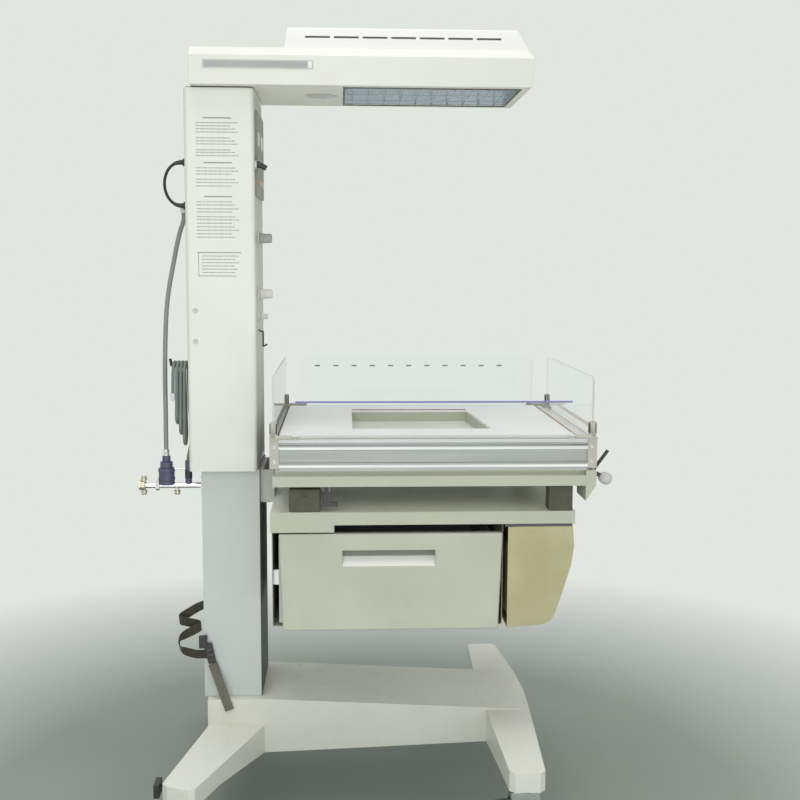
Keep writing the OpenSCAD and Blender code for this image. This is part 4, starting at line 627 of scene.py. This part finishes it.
def knobs():
    """Fluted knobs with a skirt and a pointer line, each on its own spindle."""
    # Share of the length, share of the skirt's radius, depth of the flutes there
    profile = [(0, 1.0, 0), (0.12, 1.0, 0), (0.16, 0.93, 0.2), (0.24, 0.90, 1), (0.90, 0.84, 1),
               (0.97, 0.80, 0.7), (1.0, 0.70, 0)]
    face = P(KNOB_FACE_X, 0, 0).x
    n = 96
    for node, mat in (("knob_flow", "green_knob"), ("knob_suction", "white_knob"),
                      ("knob_valve", "white_knob")):
        lo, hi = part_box(node)
        skirt = (hi.z - lo.z) / 2
        centre = (lo + hi) / 2
        bm = bmesh.new()
        rings = []
        for share, r, flute in profile:
            ring = []
            for k in range(n):
                a = 2 * math.pi * k / n
                out = skirt * (r - 0.05 * flute * max(0, math.cos(KNOB_FLUTES * a)))
                ring.append(bm.verts.new((face + (hi.x - face) * share, centre.y + out * math.cos(a),
                                          centre.z + out * math.sin(a))))
            rings.append(ring)
        close_rings(bm, rings)
        place(finish_mesh(bm, node + "_cap", mat), node, [node])
        block(node + "_line", (hi.x - 0.0002, centre.y - 0.0007, centre.z),
              (hi.x + 0.0002, centre.y + 0.0007, centre.z + skirt * 0.62), "mark", node, 0)
        turned(node + "_spindle", [(0.0029, 0), (0.0029, face + 0.001 - lo.x), (0, face + 0.001 - lo.x)],
               (lo.x, centre.y, centre.z), (1, 0, 0), "steel", node, 24)


def canopy():
    """Shell and hood, with the rim of the heater's opening, slots and a bar without writing."""
    skin("canopy_shell", "canopy", 0.003, 4, longer=0.03, convex=True)
    skin("canopy_plate", "underside", 0.001, 2, longer=0.1)
    skin("vent_hood", "hood", 0.006, 5, longer=0.2, convex=True)
    coat("heater_reflector", "reflector")
    coat("heater_element", "element")
    coat("heater_grille", "grille")
    coat("lamp_lens", "lamp")
    # Grey-brown mesh behind the slots
    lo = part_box("vent_hood")[0]
    x0, x1 = P(-296, 0, 0).x, P(176, 0, 0).x
    for name, y in (("near", -0.1155), ("far", 0.1145)):
        block("slot_mesh_" + name, (x0, y, lo.z + 0.021), (x1, y + 0.001, lo.z + 0.034),
              "slot_mesh", "canopy", 0.0002, 2)
    # Bar without writing on the near side
    block("label_frame", P(-521, CANOPY_Y - 0.9, 1781), P(-270, CANOPY_Y + 0.05, 1801),
          "label", "canopy", 0.0004, 2)
    for name, x0, x1, mat in (("field", -517, -284, "label_dark"), ("end", -281, -274, "hood")):
        block("label_" + name, P(x0, CANOPY_Y - 1.2, 1784), P(x1, CANOPY_Y - 0.8, 1798),
              mat, "canopy", 0.0003, 2)
    # Dark rim of the heater's opening
    (x0, y0, z0), (x1, y1, z1) = P(-203, -144, 1744.6), P(209, 144, 1746.2)
    rim = 0.004
    for name, lo, hi in (("near", (x0, y0, z0), (x1, y0 + rim, z1)),
                         ("far", (x0, y1 - rim, z0), (x1, y1, z1)),
                         ("head", (x0, y0 + rim, z0), (x0 + rim, y1 - rim, z1)),
                         ("foot", (x1 - rim, y0 + rim, z0), (x1, y1 - rim, z1))):
        block("heater_rim_" + name, lo, hi, "gap", "canopy", 0.0004, 2)


upper_column()
knobs()
canopy()


# Lower column, cabinet and base
GRIP_X, GRIP_Z = (-0.07, 0.15), (0.64, 0.71)    # where the drawer's grip pocket lies, m
COVER_SHADE_H = 0.006                                  # painted shade above the end cover, m


def lower_parts():
    """Covers, cabinet with painted light on its top, drawer with a painted highlight and painted shade in its
    grip, supports, base and pedal.
    """
    skin("lower_cover", "bluish", 0.004, 4, longer=0.1)
    # The lower column's front strip is dark: partly its own dark infill, partly painted shade for the shadow
    # under the bed
    skin("front_strip", "gap", 0.0006, 2)
    skin("bed_bracket", "bracket", 0.002, 3, longer=0.02)
    # The cabinet top's upward faces take the lighter beige, painted light under the tray's shade
    paint(skin("cabinet_top", "beige", 0.0025, 3, longer=0.05), "beige_top_painted_light", lambda f: f.normal.z > 0.9)
    skin("cabinet_body", "beige", 0.0008, 2, longer=0.1)
    # The drawer box is a mid grey as painted shade, so that the gaps round the drawer stay dark
    skin("drawer_box", "liner_painted_shade", 0.0012, 2, longer=0.1)
    coat("drawer_runners", "steel")
    front = skin("drawer_front", "drawer", 0.004, 4, longer=0.02, convex=True)
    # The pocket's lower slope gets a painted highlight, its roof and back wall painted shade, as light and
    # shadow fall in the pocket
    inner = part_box("drawer_front")[0].y + 0.0015
    grip = [f.index for f in front.data.polygons if GRIP_X[0] < f.center.x < GRIP_X[1]
            and GRIP_Z[0] < f.center.z < GRIP_Z[1] and inner < f.center.y < inner + 0.03]
    paint(front, "grip_ramp_painted_highlight", lambda f: f.index in grip and f.normal.z > 0.15)
    paint(front, "grip_shade", lambda f: f.index in grip and (f.normal.z < -0.3 or f.normal.y < -0.95))
    skin("end_cover", "yellowed", 0.005, 4, longer=0.03, convex=True)
    # Painted shade: a dark strip in the wedge above the end cover, like the dark gap over the drawer
    lo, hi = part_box("end_cover")
    block("cover_painted_shade", (lo.x + 0.001, lo.y - 0.0003, hi.z - COVER_SHADE_H),
          (hi.x - COVER_SHADE_H, lo.y + 0.012, hi.z - 0.0003), "gap", "frame", 0)
    skin("tilt_supports", "olive", 0.003, 3, longer=0.01)
    skin("base_frame", "base", 0.003, 3, longer=0.03)
    skin("brake_near", "black", 0.003, 3, longer=0.01)


def castors():
    """Tyre, hub with caps and a pressed fork for each castor."""
    nut = [(0.009, -0.003), (0.009, 0.0005), (0.0078, 0.0022), (0, 0.0022)]
    for end in ("head", "foot"):
        for side in ("near", "far"):
            wheel, fork = f"wheel_{end}_{side}", f"fork_{end}_{side}"
            lo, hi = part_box(wheel)
            centre = (lo + hi) / 2
            r, w = (hi.z - lo.z) / 2, (hi.y - lo.y) / 2
            tyre = [(r - 0.016, -w), (r - 0.006, -w), (r - 0.0025, -w + 0.002), (r - 0.0006, -w + 0.0065),
                    (r, 0), (r - 0.0006, w - 0.0065), (r - 0.0025, w - 0.002), (r - 0.006, w), (r - 0.016, w),
                    (r - 0.0175, w * 0.4), (r - 0.0175, -w * 0.4), (r - 0.016, -w)]
            turned(wheel + "_tyre", tyre, centre, (0, 1, 0), "tyre", wheel, 96, [wheel])
            half = [(r - 0.0165, 0.6 * w), (r - 0.0175, 0.6 * w), (r - 0.024, 0.35 * w), (0.019, 0.35 * w),
                    (0.017, w - 0.003), (0.015, w), (0.0051, w)]
            hub = [(x, -y) for x, y in half[::-1]] + half + [(0.0051, -w)]
            turned(wheel + "_hub", hub, centre, (0, 1, 0), "hub", wheel, 96)
            skin(fork, "chrome", 0.0012, 3, longer=0.008)
            lo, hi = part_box(fork)
            for name, y, s in (("near", lo.y, -1), ("far", hi.y, 1)):
                turned(f"{fork}_nut_{name}", nut, (centre.x, y - s * 0.0025, centre.z), (0, s, 0),
                       "chrome", fork, 6)


lower_parts()
castors()


# Bed, in mm
DECK_Z = 961                # top of the deck boards
WELL_X, WELL_Y = (-182, 121), 178       # ends of the well and its far edge
PANEL_Y = -303              # outer face of the near panel
PANEL_X, PANEL_TOP = 311, 1038          # half the length of its top edge, and that edge's height
CORNER_X, CORNER_Y = 360.5, 287         # middle of a corner's peg
HANDLE_Y = -230             # the tilt handle's rod

# Heights on the rails, in m: the lips' edges get painted highlights, the bands between them painted shade
LOW_LIP, HIGH_LIP, BAND_TOP = (0.889, 0.8965), (0.9305, 0.937), 0.9466

# What tells the tray's faces apart, in m: its pins' top, reach and face area, and its well's floor
PIN_TOP, PIN_REACH, PIN_AREA = 0.845, 0.06, 0.0008
FLOOR_Z = (0.86, 0.957)


def bed():
    """Tray, rails, corner blocks and deck boards."""
    # The pan's pins in the dark supports, and painted light on the upward faces of its well's floor
    pan = skin("tray_pan", "beige", 0.0015, 3, longer=0.012, convex=True)
    x0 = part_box("tilt_supports")[0].x
    paint(pan, "olive", lambda f: f.center.z < PIN_TOP and x0 < f.center.x < x0 + PIN_REACH
          and f.area < PIN_AREA)
    paint(pan, "well_floor_painted_light", lambda f: f.normal.z > 0.9 and FLOOR_Z[0] < f.center.z < FLOOR_Z[1])
    rail_painted_light(skin("rails", "alu", 0.0005, 2, longer=0.05))
    skin("corner_blocks", "corner", 0.002, 3, longer=0.012, convex=True)
    skin("deck_boards", "deck", 0.0016, 3, longer=0.02, convex=True)
    # Thin red line at the far edge of the well
    block("well_line", P(WELL_X[0], WELL_Y + 0.2, DECK_Z - 0.2), P(WELL_X[1], WELL_Y + 3.2, DECK_Z + 1.4),
          "redbrown", "bed", 0.0003, 2)


def rail_painted_light(obj):
    """Painted shade on the bands between the rails' lips, and painted highlights on the lips' edges."""
    bm = bmesh.new()
    bm.from_mesh(obj.data)
    for z in (LOW_LIP[1], HIGH_LIP[1]):
        bmesh.ops.bisect_plane(bm, geom=bm.verts[:] + bm.edges[:] + bm.faces[:],
                               plane_co=(0, 0, z), plane_no=(0, 0, 1))
    bm.to_mesh(obj.data)
    bm.free()
    paint(obj, "alu_band_painted_shade", lambda f: f.center.z < BAND_TOP)
    paint(obj, "alu_lip_painted_highlight", lambda f: any(low < f.center.z < high for low, high in (LOW_LIP, HIGH_LIP)))


def edge_strips():
    """The three strips of the deck's edge, each in its own colour."""
    source = frame["nodes"]["edge_strips"]
    lo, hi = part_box("edge_strips")
    wide = 0.006
    for name, mat, pick in (("violet", "violet", lambda c: c.y > hi.y - wide),
                            ("red", "redbrown", lambda c: c.x > hi.x - wide),
                            ("dark", "gap", lambda c: c.x < lo.x + wide)):
        bm = bmesh.new()
        bm.from_mesh(source.data)
        others = [f for f in bm.faces if not pick(source.matrix_world @ f.calc_center_median())]
        bmesh.ops.delete(bm, geom=others, context="FACES")
        place(finish_mesh(bm, "edge_line_" + name, mat), "bed", ["edge_strips"])


def side_panels():
    """Clear panels with polished edges, the near one's top edge in violet, and the scale on the far one."""
    for node in ("panel_near", "panel_far", "panel_foot", "panel_head"):
        flat = 1 if node in ("panel_near", "panel_far") else 0
        paint(skin(node, "clear", 0.0012, 3, longer=0.006, convex=True), "acryl_edge",
              lambda f: abs(f.normal[flat]) < 0.9)
    edge = [P(x, PANEL_Y + 2.5, PANEL_TOP + 0.1) for x in (-PANEL_X, -150, 0, 150, PANEL_X)]
    tube("panel_near_edge", edge, [0.0021] * len(edge), "violet", "panel_near")
    for i in range(11):
        x = -281 + 50 * i
        block(f"scale_mark_{i}", P(x, 297.3, 1067), P(x + 14, 297.9, 1071), "mark", "panel_far", 0.0002, 2)


def corner_pegs():
    """Olive rubber pegs on the corners, which the panels close against, and screws in the blocks."""
    screw = [(0.0042, 0), (0.0040, 0.0008), (0.0026, 0.0014), (0.0016, 0.0014), (0.0012, 0.0006), (0, 0.0006)]
    for sx in (-1, 1):
        for sy in (-1, 1):
            side = f"{'head' if sx < 0 else 'foot'}_{'near' if sy < 0 else 'far'}"
            x, y = sx * CORNER_X, sy * CORNER_Y
            for name, x0 in (("", x - 8.2), ("out_", x + 5.5)):
                block(f"clip_pad_{name}{side}", P(x0, y - 6.2, 966), P(x0 + 2.7, y + 6.2, 988),
                      "olive", "bed", 0.001, 3)
            for z in (905, 938):
                turned(f"corner_screw_{side}_{z}", screw, P(sx * 358, sy * 305, z), (0, sy, 0),
                       "steel", "bed", 24)


def tilt_parts():
    """Handle with a bent rod and a ball, and the small lever below the pan."""
    skin("tilt_lever", "black_metal", 0.001, 3)
    coat("tilt_handle", "black_metal")
    ball = [(0.0052, -0.0165), (0.0085, -0.0150), (0.0125, -0.0095), (0.0144, -0.002), (0.0144, 0.003),
            (0.0128, 0.0090), (0.0085, 0.0132), (0.003, 0.0149), (0, 0.0151)]
    turned("tilt_knob", ball, P(406.5, HANDLE_Y, 850), (0.93, 0, -0.36), "knob_grey", "tilt_handle", 48)
    turned("tilt_boss", [(0.0052, 0), (0.0098, 0), (0.0098, 0.011), (0.0088, 0.0125), (0.0052, 0.0125)],
           P(370, HANDLE_Y, 868), (1, 0, 0), "black_metal", "tilt_handle", 32)


bed()
edge_strips()
side_panels()
corner_pegs()
tilt_parts()


# Behind the column, in mm
MANIFOLD_X, MANIFOLD_Z = -700.5, 807    # its free end and its height
FITTING_X, FITTING_Z = -633.5, 816      # foot of the hose's fitting
VALVE_X, VALVE_Z = -580.5, 824          # foot of the valve's sleeve


def manifold():
    """Machined bar with its nipples, collar and hexagon, and the fitting and valve on it."""
    coat("manifold", "chrome")
    collar = [(0.0098, 0), (0.0118, 0.0008), (0.0118, 0.0048), (0.0108, 0.0056), (0.0108, 0.0085),
              (0.0118, 0.0093), (0.0118, 0.014), (0.0098, 0.0152)]
    turned("manifold_collar", collar, P(MANIFOLD_X + 0.2, REAR_Y, MANIFOLD_Z), (1, 0, 0), "brass", "frame")
    turned("manifold_hex", [(0.009, 0), (0.0128, 0.0006), (0.0128, 0.0094), (0.009, 0.010)],
           P(MANIFOLD_X + 40, REAR_Y, MANIFOLD_Z), (1, 0, 0), "chrome", "frame", 6)
    nipple = [(0.0078, 0), (0.0078, 0.003), (0.0062, 0.004), (0.0062, 0.0056), (0.0074, 0.0068),
              (0.0062, 0.009), (0.0040, 0.009), (0.0040, 0.004), (0, 0.004)]
    for name, x, s in (("0_up", MANIFOLD_X + 12, 1), ("0_down", MANIFOLD_X + 12, -1), ("1_down", -608.5, -1)):
        turned("nipple_" + name, nipple, P(x, REAR_Y, MANIFOLD_Z + s * 13.5), (0, 0, s), "brass", "frame", 32)
    coat("hose_fitting", "fitting")
    for name, z in (("low", FITTING_Z + 4), ("high", FITTING_Z + 24)):
        turned("fitting_band_" + name, [(0.0192, 0), (0.0203, 0.001), (0.0203, 0.006), (0.0192, 0.007)],
               P(FITTING_X, REAR_Y, z), (0, 0, 1), "fitting", "frame", 64)
    turned("valve_sleeve", [(0.0081, 0), (0.0088, 0.0008), (0.0088, 0.020), (0.0081, 0.021)],
           P(VALVE_X, REAR_Y, VALVE_Z), (0, 0, 1), "black", "frame", 32)


# Rows of the strap: a point in mm and the direction across the webbing there, as in the part
STRAP_ROWS = [
    (-546.4, -86, 514, 0, 0, 1), (-560, -86, 508, -0.25, 0, 1), (-580, -85, 496, -0.45, 0, 1),
    (-596, -85, 486, -0.4, 0, 1), (-604, -90, 480.5, -0.14, 0, 1), (-600, -97, 478.5, 0.07, 0, 1),
    (-588, -99, 476, 0.2, 0, 1), (-572, -99.5, 473, 0.25, 0, 1), (-558, -101, 470, 0.14, 0, 1),
    (-551, -106, 468, -0.07, 0, 1), (-555, -112, 465.5, -0.3, 0, 1), (-568, -114, 459, -0.5, 0, 1),
    (-585, -114, 450, -0.45, -0.2, 1), (-597, -113, 441, -0.4, -0.8, 0.9), (-603, -112, 429, 0, -1, 0.15),
    (-600, -112, 415, 0.2, -0.8, 0.5), (-590, -112, 407, 0.3, -0.3, 0.9), (-575, -114, 402.5, 0.15, -0.1, 1),
    (-560, -119, 401, -0.1, 0, 1), (-537, -121, 401.6, -0.2, 0, 1)]
STRAP_W, STRAP_T = 0.022, 0.0025        # webbing's width and thickness, m
TAIL_L, TAIL_ROWS = 0.120, 13           # hanging tail's length, m, and its rows of points


def ribbon(name, centres, across, mat, body, replaces):
    """Flat webbing with slightly rounded edges along the points, across gives its width's direction."""
    # Its section, as shares of the width and of half the thickness
    section = [(0.5, 0), (0.46, 0.9), (0, 1), (-0.46, 0.9), (-0.5, 0), (-0.46, -0.9), (0, -1), (0.46, -0.9)]
    bm = bmesh.new()
    rings = []
    for i, p in enumerate(centres):
        along = centres[min(i + 1, len(centres) - 1)] - centres[max(i - 1, 0)]
        a = across[i].normalized()
        b = along.cross(a).normalized() * STRAP_T / 2
        rings.append([bm.verts.new(p + a * STRAP_W * u + b * v) for u, v in section])
    close_rings(bm, rings)
    return place(finish_mesh(bm, name, mat, 50), body, replaces)


def strap():
    """Folded webbing strap, its buckle and its hanging tail."""
    node = "cylinder_strap"
    centres = spline([P(*r[:3]) for r in STRAP_ROWS], 8)
    across = spline([Vector(r[3:]).normalized() for r in STRAP_ROWS], 8)
    # The folds take a darker copy of the webbing as painted shade; the hanging tail keeps the lighter one
    ribbon("strap_folds", centres, across, "webbing_painted_shade", "frame", [node])
    turn = Matrix.Rotation(math.radians(-21), 3, "Y") @ Matrix.Rotation(math.radians(-11), 3, "X")
    turn = turn @ Matrix.Rotation(math.radians(8), 3, "Z")
    top = P(-522.3, -121, 377.9)
    tail = [top + turn @ Vector((0, 0.0016 * math.sin(k * 0.9), -TAIL_L * k / (TAIL_ROWS - 1)))
            for k in range(TAIL_ROWS)]
    ribbon("strap_tail", tail, [turn @ Vector((1, 0, 0))] * TAIL_ROWS, "webbing", "frame", [node])
    # Cam of the buckle, and the leaning frame below it with its bar and slots
    block("buckle_cam", P(-554, -126, 417), P(-535, -116, 447), "black", "frame", 0.003, 4, [node])
    lean = Matrix.Translation(P(-531, -121, 419)) @ Matrix.Rotation(math.radians(-12), 4, "Y")
    for name, lo, hi, mat in (("frame", (-9, -4, -40), (9, 4, 8), "black"),
                              ("slot_high", (-6, -4.3, -9), (6, -3.9, -4), "gap"),
                              ("slot_low", (-6, -4.3, -34), (6, -3.9, -29), "gap"),
                              ("bar", (-7.5, -4.6, -22), (7.5, -3.9, -17), "black_metal")):
        bm = bmesh.new()
        box_bm(bm, [v / 1000 for v in lo], [v / 1000 for v in hi])
        bevel(bm, 0.0018 if name == "frame" else 0.0002, 3)
        bmesh.ops.transform(bm, matrix=lean, verts=bm.verts)
        place(finish_mesh(bm, "buckle_" + name, mat), "frame", [node] if name == "frame" else ())


manifold()
strap()


# Surroundings
BACKDROP = (0.76, 0.79, 0.745, 1)       # colour of the wall behind
FILL = 0.56                             # strength of the even light
FADE = (0.95, 2.2)                      # m from the middle: the floor turns into the wall's colour
FLOOR_HALF = 14                         # m


def softbox(name, at, to, width, height, watts, colour=(1, 1, 1)):
    """Rectangular lamp that the camera doesn't see."""
    data = bpy.data.lights.new(name, "AREA")
    data.shape = "RECTANGLE"
    data.size = width
    data.size_y = height
    data.energy = watts
    data.color = colour
    obj = bpy.data.objects.new(name, data)
    obj.location = at
    obj.visible_camera = False
    obj.rotation_euler = (Vector(to) - Vector(at)).to_track_quat("-Z", "Y").to_euler()
    bpy.context.scene.collection.objects.link(obj)


def backdrop_ray(tree):
    """1 for what the camera sees directly, in metal or through glass, 0 for what lights the object."""
    path = tree.nodes.new("ShaderNodeLightPath")
    value = path.outputs["Is Camera Ray"]
    for other in ("Is Glossy Ray", "Is Transmission Ray"):
        most = tree.nodes.new("ShaderNodeMath")
        most.operation = "MAXIMUM"
        tree.links.new(value, most.inputs[0])
        tree.links.new(path.outputs[other], most.inputs[1])
        value = most.outputs[0]
    return value


def floor():
    """Grey-green floor that fades into the pale wall's colour round the object."""
    n = Nodes("floor_pale")
    cloud = n.noise(3, 4, 0.6)
    n.set(Base_Color=n.mix(n.ramp(cloud, 0.3, 0.7), (0.30, 0.345, 0.31, 1), (0.325, 0.365, 0.33, 1)),
          Roughness=n.value(cloud, 0.3, 0.7, 0.75, 0.85), Specular_IOR_Level=0.2)
    far = n.tree.nodes.new("ShaderNodeVectorMath")
    far.operation = "LENGTH"
    n.tree.links.new(n.coord, far.inputs[0])
    both = n.tree.nodes.new("ShaderNodeMath")
    both.operation = "MULTIPLY"
    n.tree.links.new(n.value(far.outputs["Value"], FADE[0], FADE[1], 0, 1), both.inputs[0])
    n.tree.links.new(backdrop_ray(n.tree), both.inputs[1])
    glow = n.add("ShaderNodeEmission", Color=BACKDROP, Strength=1.0)
    fade = n.tree.nodes.new("ShaderNodeMixShader")
    n.tree.links.new(both.outputs[0], fade.inputs[0])
    n.tree.links.new(n.bsdf.outputs[0], fade.inputs[1])
    n.tree.links.new(glow.outputs[0], fade.inputs[2])
    n.tree.links.new(fade.outputs[0], n.tree.nodes["Material Output"].inputs["Surface"])
    MAT["floor"] = n.mat
    bm = bmesh.new()
    corners = ((-FLOOR_HALF, -FLOOR_HALF), (FLOOR_HALF, -FLOOR_HALF), (FLOOR_HALF, FLOOR_HALF),
               (-FLOOR_HALF, FLOOR_HALF))
    bm.faces.new([bm.verts.new((x, y, -0.0005)) for x, y in corners])
    finish_mesh(bm, "floor", "floor")


def world():
    """Even pale light, and a pale wall's colour where the camera looks past the object."""
    scene = bpy.context.scene
    scene.world = bpy.data.worlds.new("studio")
    scene.world.use_nodes = True
    tree = scene.world.node_tree
    tree.nodes.clear()
    out = tree.nodes.new("ShaderNodeOutputWorld")
    mix = tree.nodes.new("ShaderNodeMixShader")
    for i, (colour, strength) in enumerate((((1, 1, 1, 1), FILL), (BACKDROP, 1.0))):
        ground = tree.nodes.new("ShaderNodeBackground")
        ground.inputs["Color"].default_value = colour
        ground.inputs["Strength"].default_value = strength
        tree.links.new(ground.outputs[0], mix.inputs[1 + i])
    tree.links.new(backdrop_ray(tree), mix.inputs[0])
    tree.links.new(mix.outputs[0], out.inputs["Surface"])


floor()
world()
# Each lamp's place, aim, width and height in m, and its watts
softbox("key", (-0.7, -3.2, 2.3), (0, 0, 1.25), 2.4, 1.8, 25, (1, 0.998, 0.985))
softbox("fill", (2.8, -2.2, 1.7), (0, 0, 1.0), 1.8, 1.8, 6, (0.98, 0.99, 1))
softbox("top", (0.1, -0.7, 5.0), (0, 0, 0.6), 3.2, 2.8, 76)
softbox("bounce", (0.1, -1.7, 0.03), (0.1, -1.7, 2.0), 2.2, 1.0, 24)
bpy.context.scene.view_settings.view_transform = "Standard"
